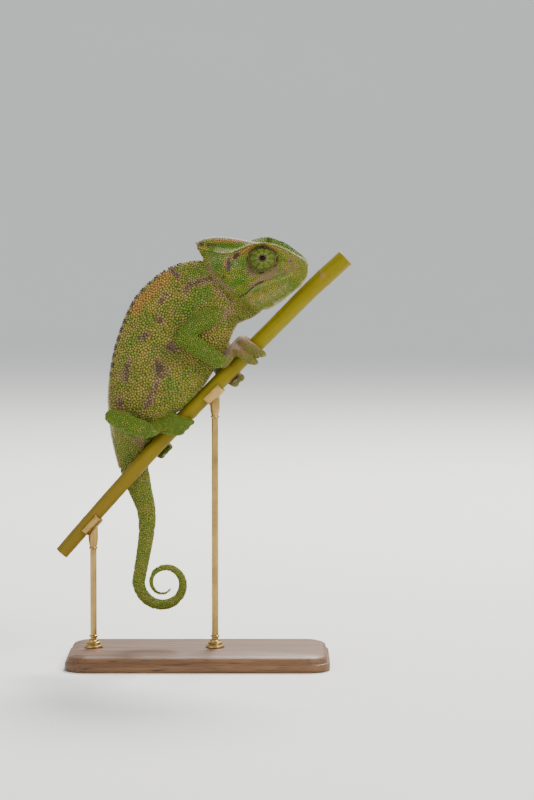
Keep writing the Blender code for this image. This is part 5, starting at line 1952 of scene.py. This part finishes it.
@dataclass
class Stem:
    """The cut stem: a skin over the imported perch, with leaf scars and cut ends."""

    steps: int = 40
    rings: int = 300
    reach: float = 0.985
    degree: float = 0.055
    scars: tuple[tuple[float, float], ...] = (
        (0.10, 200.0), (0.27, 20.0), (0.47, 250.0), (0.62, 95.0), (0.79, 300.0), (0.93, 160.0),
    )
    cut: tuple[tuple[float, float], ...] = (
        (0.93, 0.06), (0.80, 0.08), (0.42, 0.05), (0.25, -0.06), (0.0, -0.1),
    )

    def centre_line(self) -> tuple[Array, Array]:
        """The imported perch's middle line and its radius at each of its sections."""
        points, _ = Solids.welded("perch")
        ends = points[[points[:, 0].argmin(), points[:, 0].argmax()]]
        along = points @ unit(ends[1:] - ends[:1])[0]
        order = np.argsort(along)
        groups = np.array_split(order, np.nonzero(np.diff(along[order]) > 1.2)[0] + 1)
        sections = [points[g] for g in groups if len(g) > 5]
        middles = np.array([own.mean(axis=0) for own in sections])
        radii = [norm(own - middle, axis=1).mean() for own, middle in zip(sections, middles)]
        return middles, np.array(radii)

    def build(self, material: Material) -> None:
        """Makes the stem's skin."""
        middles, radii = self.centre_line()
        lengths = run_lengths(middles)
        shares = np.linspace(0, 1, self.rings)
        at = shares * lengths[-1]
        line = self.eased(between(at, lengths, middles))
        ahead = np.gradient(line, axis=0)
        ahead /= norm(ahead, axis=1, keepdims=True)
        aside = np.tile((0.0, 1.0, 0.0), (self.rings, 1))
        up = np.cross(ahead, aside)
        angles = around(self.steps)
        bulge, scar = self.scar_fields(shares, angles, lengths[-1])
        ribs = 0.018 * np.sin(angles * 5 + 0.4)
        wave = mottle(np.column_stack([at, np.zeros_like(at), np.zeros_like(at)]), 9.0, 8) - 0.5
        radius = np.interp(at, lengths, radii)
        reach = radius[:, None] * (self.reach + ribs + 0.025 * wave[:, None]) + bulge
        outward = aside[:, None] * np.cos(angles)[:, None] + up[:, None] * np.sin(angles)[:, None]
        caps = []
        for end, way in ((0, -1.0), (-1, 1.0)):
            edge = outward[end] * reach[end][:, None]
            caps.append(line[end] + np.stack([edge * share + ahead[end] * way * d for share, d in self.cut]))
        body = line[:, None] + outward * reach[..., None]
        points = np.concatenate([caps[0][::-1], body, caps[1]])
        obj = new_mesh("stem", points.reshape(-1, 3), tube_faces(len(points), self.steps)[:, ::-1])
        cork = np.full((len(self.cut), self.steps), 0.9)
        set_values(obj, "scar", np.concatenate([cork, scar, cork]).ravel())
        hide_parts("perch")
        finished(obj, material)

    @staticmethod
    def eased(line: Array) -> Array:
        """A line with its corners rounded, and its ends in their places."""
        kernel = np.ones(9) / 9
        padded = np.concatenate([2 * line[:1] - line[8:0:-1], line, 2 * line[-1:] - line[-2:-10:-1]])
        return np.column_stack([np.convolve(padded[:, k], kernel, "same") for k in range(3)])[8:-8]

    def scar_fields(self, shares: Array, angles: Array, length: float) -> tuple[Array, Array]:
        """How far the leaf scars bulge, and where their corky faces show."""
        bulge = np.zeros((len(shares), len(angles)))
        face = np.zeros_like(bulge)
        for share, degrees in self.scars:
            along = (shares - share)[:, None] * length
            beside = np.abs((np.degrees(angles) - degrees + 180.0) % 360.0 - 180.0)[None] * self.degree
            gap = np.hypot(along / 1.3, beside / 1.1)
            bulge += 0.22 * bell(gap - 0.2, 0.75) - 0.12 * bell(gap, 0.5) + 0.10 * bell(along, 0.6)
            face = np.maximum(face, ramp(-gap, -1.0, -0.6))
        return bulge, face


@dataclass
class Stand:
    """The walnut plinth and the brass rods, with their collars and the saddles under the stem."""

    stem: Stem
    rod_radius: float = 1.25
    collar_radius: float = 3.6
    saddle_length: float = 8.0
    saddle_shift: float = -2.4
    saddle_wall: float = 1.05
    saddle_half_turn: float = math.radians(88.0)
    corner: float = 9.0
    corner_steps: int = 14
    plinth_edge: Line = (
        (-0.5, 0.0), (-0.15, 0.12), (0.0, 0.5), (0.0, 2.6), (-0.12, 2.95), (-0.75, 3.2), (-0.95, 3.5),
    )
    sharp: float = math.radians(50)
    plinth_sharp: float = math.radians(40)

    def build(self, wood: Material, brass: Material) -> None:
        """Makes the plinth, and a collar, a rod and a saddle for each packed post."""
        self.make_plinth(wood)
        line, radii = self.stem.centre_line()
        for label in ("low", "high"):
            node = "stand_post_" + label
            points, _ = Solids.welded(node)
            foot = points[points[:, 2] < points[:, 2].min() + 0.5]
            x, y = (foot[:, :2].min(axis=0) + foot[:, :2].max(axis=0)) / 2
            ground = points[:, 2].min()
            centre = between(x, line[:, 0], line)
            ahead = between(x + 2.0, line[:, 0], line) - centre
            radius = float(np.interp(x, line[:, 0], radii))
            self.make_collar("stand_collar_" + label, (x, y, ground), brass)
            self.make_rod("stand_rod_" + label, (x, y, ground), centre, ahead, radius, brass)
            saddle = self.make_saddle("stand_saddle_" + label, centre, ahead, radius, brass)
            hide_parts(node)

    def make_rod(
        self, name: str, foot: Place, centre: Array, ahead: Array, radius: float, material: Material
    ) -> None:
        """A turned rod, with a bead over its collar and a ferrule under the saddle."""
        rake = ahead[2] / ahead[0]
        slope = math.hypot(1.0, rake)
        own, wide = self.rod_radius, self.rod_radius + 0.6
        neck = centre[2] - (radius + self.saddle_wall) * slope - wide * rake - foot[2]
        profile = [(0.0, 0.2), (own, 0.2), (own, 3.6), (own + 0.45, 3.9), (own + 0.45, 4.3), (own, 4.6)]
        profile += [(own, z) for z in np.linspace(6.0, neck - 6.0, 12)]
        profile += [
            (own, neck - 4.4), (own + 0.4, neck - 4.1), (own + 0.4, neck - 3.7), (own + 0.1, neck - 3.4),
            (own + 0.5, neck - 1.6), (wide, neck - 0.2), (wide, neck + 0.1), (0.0, neck + 0.1),
        ]
        points, faces = turned(tuple(profile), 36)
        top = points[:, 2] > neck
        depth = np.sqrt((radius + 0.5 * self.saddle_wall) ** 2 - points[top, 1] ** 2)
        points[top, 2] = centre[2] - foot[2] + points[top, 0] * rake - depth * slope
        obj = new_mesh(name, points + foot, faces)
        obj.data.set_sharp_from_angle(angle=self.sharp)
        finished(obj, material)

    def make_saddle(
        self, name: str, centre: Array, ahead: Array, radius: float, material: Material
    ) -> Object:
        """A half-round saddle with eased rims, which the stem lies in."""
        axis = ahead / norm(ahead)
        side = np.array((0.0, 1.0, 0.0))
        down = np.cross(side, axis)
        down = -down if down[2] > 0 else down
        angles = np.linspace(-self.saddle_half_turn, self.saddle_half_turn, 33)
        arc = np.cos(angles)[:, None] * down + np.sin(angles)[:, None] * side
        rows = []
        for along, ease in ((-1.0, 0.28), (-0.96, 0.08), (-0.9, 0.0), (0.9, 0.0), (0.96, 0.08), (1.0, 0.28)):
            outer, inner = radius + self.saddle_wall - ease, radius * self.stem.reach + 0.35 * ease
            middle = centre + axis * (self.saddle_shift + along * self.saddle_length / 2)
            rows.append(np.concatenate([middle + arc * outer, middle + arc[::-1] * inner]))
        count = len(rows[0])
        k = np.arange(len(angles) - 1)
        first = np.stack([k, count - 1 - k, count - 2 - k, k + 1], axis=1)
        last = first[:, ::-1] + (len(rows) - 1) * count
        faces = np.concatenate([tube_faces(len(rows), count), first, last])
        obj = new_mesh(name, np.concatenate(rows), faces)
        obj.data.set_sharp_from_angle(angle=self.sharp)
        return finished(obj, material)

    def make_plinth(self, material: Material) -> None:
        """The plinth: a round-cornered block with an ogee under its top edge."""
        low, high = (np.array(corner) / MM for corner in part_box("stand_base"))
        half, middle = ((high - low) / 2)[:2], ((high + low) / 2)[:2]
        height = high[2] - low[2]
        quarter = circle(np.linspace(0, math.pi / 2, self.corner_steps))
        ring, out = [], []
        for sign, back in (((1, 1), False), ((-1, 1), True), ((-1, -1), False), ((1, -1), True)):
            arc = quarter[::-1] if back else quarter
            ring.append((half - self.corner) * sign + arc * self.corner * sign)
            out.append(arc * sign)
        ring, out = np.concatenate(ring), np.concatenate(out)
        sweep = np.linspace(0.0, math.pi / 2, 9)
        bow = [(-0.95 - 2.3 * (1 - math.cos(a)), 3.6 + 2.1 * math.sin(a)) for a in sweep]
        profile = (*self.plinth_edge, *bow, (-3.6, height - 0.15), (-4.0, height))
        rows = [np.column_stack([middle + ring + out * inset, np.full(len(ring), z)]) for inset, z in profile]
        floor = range(len(ring))
        lid = range(len(ring) * (len(rows) - 1), len(ring) * len(rows))
        faces = [*tube_faces(len(rows), len(ring)).tolist(), tuple(lid), tuple(reversed(floor))]
        data = bpy.data.meshes.new("plinth")
        data.from_pydata((np.concatenate(rows) * MM).tolist(), [], faces)
        data.shade_smooth()
        data.set_sharp_from_angle(angle=self.plinth_sharp)
        obj = bpy.data.objects.new("plinth", data)
        bpy.context.scene.collection.objects.link(obj)
        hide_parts("stand_base")
        finished(obj, material)

    def make_collar(self, name: str, foot: Place, material: Material) -> None:
        """A turned collar where a rod meets the plinth."""
        radius = self.collar_radius
        profile = (
            (0.0, -0.1), (radius, -0.1), (radius, 0.35), (radius - 0.15, 0.6), (radius - 0.75, 0.8),
            (radius - 0.95, 1.1), (radius - 0.8, 1.5), (radius - 1.0, 1.8), (radius - 1.5, 2.0),
            (1.95, 2.6), (1.6, 2.95), (0.0, 2.95),
        )
        points, faces = turned(profile, 40)
        obj = new_mesh(name, points + foot, faces)
        obj.data.set_sharp_from_angle(angle=self.sharp)
        finished(obj, material)


# ---- the studio


@dataclass
class Studio:
    """The floor that sweeps up all round, the lights and the camera."""

    target: Place = (0.0262, 0.0, 0.1007)
    elevation: float = math.radians(4.0)
    distance: float = 1.2667
    lens: float = 150.0
    flat: float = 1.9
    sweep: float = 2.6
    sweep_turn: float = math.radians(46.0)
    sky: Colour = (0.93, 0.96, 1.0)
    sky_strength: float = 0.8
    sensor: float = 36.0

    def build(self) -> None:
        """Sets up the studio."""
        self.make_floor()
        self.make_lights()
        self.make_camera()

    def make_floor(self) -> None:
        """A round floor whose rim curves up as high as the camera sees."""
        bend = [
            (self.flat + self.sweep * math.sin(a), self.sweep * (1 - math.cos(a)))
            for a in np.linspace(0.0, self.sweep_turn, 14)
        ]
        profile = [(0.0, 0.0), (self.flat * 0.5, 0.0), *bend]
        points, faces = turned(tuple(profile), 96)
        floor = new_mesh("studio_floor", points / MM, faces)
        floor.data.materials.append(FloorFinish().build())
        floor.visible_shadow = False

    def make_lights(self) -> None:
        """A broad key from the right and above, a soft fill, a rim from behind, and the sky."""
        aim = Vector(self.target)
        for name, place, size, power, colour in (
            ("key", (0.9, -0.75, 1.15), 0.55, 20.0, (1.0, 0.96, 0.84)),
            ("fill", (-1.1, -1.0, 0.55), 1.0, 5.0, (0.96, 1.0, 0.96)),
            ("rim", (0.25, 0.85, 1.05), 0.45, 34.0, (1.0, 0.97, 0.92)),
        ):
            light = bpy.data.lights.new(name, "AREA")
            light.shape = "DISK"
            light.size = size
            light.energy = power
            light.color = colour
            obj = bpy.data.objects.new(name, light)
            obj.location = place
            obj.rotation_euler = (aim - obj.location).to_track_quat("-Z", "Y").to_euler()
            bpy.context.scene.collection.objects.link(obj)
        world = bpy.data.worlds.new("sky")
        world.use_nodes = True
        background = world.node_tree.nodes["Background"]
        background.inputs["Color"].default_value = (*self.sky, 1.0)
        background.inputs["Strength"].default_value = self.sky_strength
        bpy.context.scene.world = world

    def make_camera(self) -> None:
        """The camera, level with the animal and a little above."""
        camera = bpy.data.cameras.new("camera")
        camera.lens = self.lens
        camera.sensor_fit = "VERTICAL"
        camera.sensor_width = camera.sensor_height = self.sensor
        camera.clip_start, camera.clip_end = 0.05, 20.0
        back = Vector((0.0, -math.cos(self.elevation), math.sin(self.elevation)))
        obj = bpy.data.objects.new("camera", camera)
        obj.location = Vector(self.target) + back * self.distance
        obj.rotation_euler = (-back).to_track_quat("-Z", "Y").to_euler()
        bpy.context.scene.collection.objects.link(obj)
        bpy.context.scene.camera = obj


def main() -> None:
    """Builds every piece in order."""
    logging.basicConfig(level=logging.INFO, format="%(name)s %(relativeCreated)d %(message)s")
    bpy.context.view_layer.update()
    fine_grain_group()
    fibre_group()
    hide_group(Palette())
    skin = HideFinish("skin_between_scales", 1.0, 0.3, 0.1).build()
    scales = HideFinish("scales", 0.85).build()
    claws = Claws()
    hide = Hide(claws)
    hide.build()
    log.info("hide shaped: %d points", len(hide.surface.points))
    hide.make(skin)
    Coat(hide).build(scales)
    claws.build(ClawFinish().build())
    Eyes().build(EyeFinish().build(), scales)
    stem = Stem()
    stem.build(StemFinish().build())
    Stand(stem).build(WoodFinish().build(), BrassFinish().build())
    Studio().build()


if __name__ == "__main__":
    main()
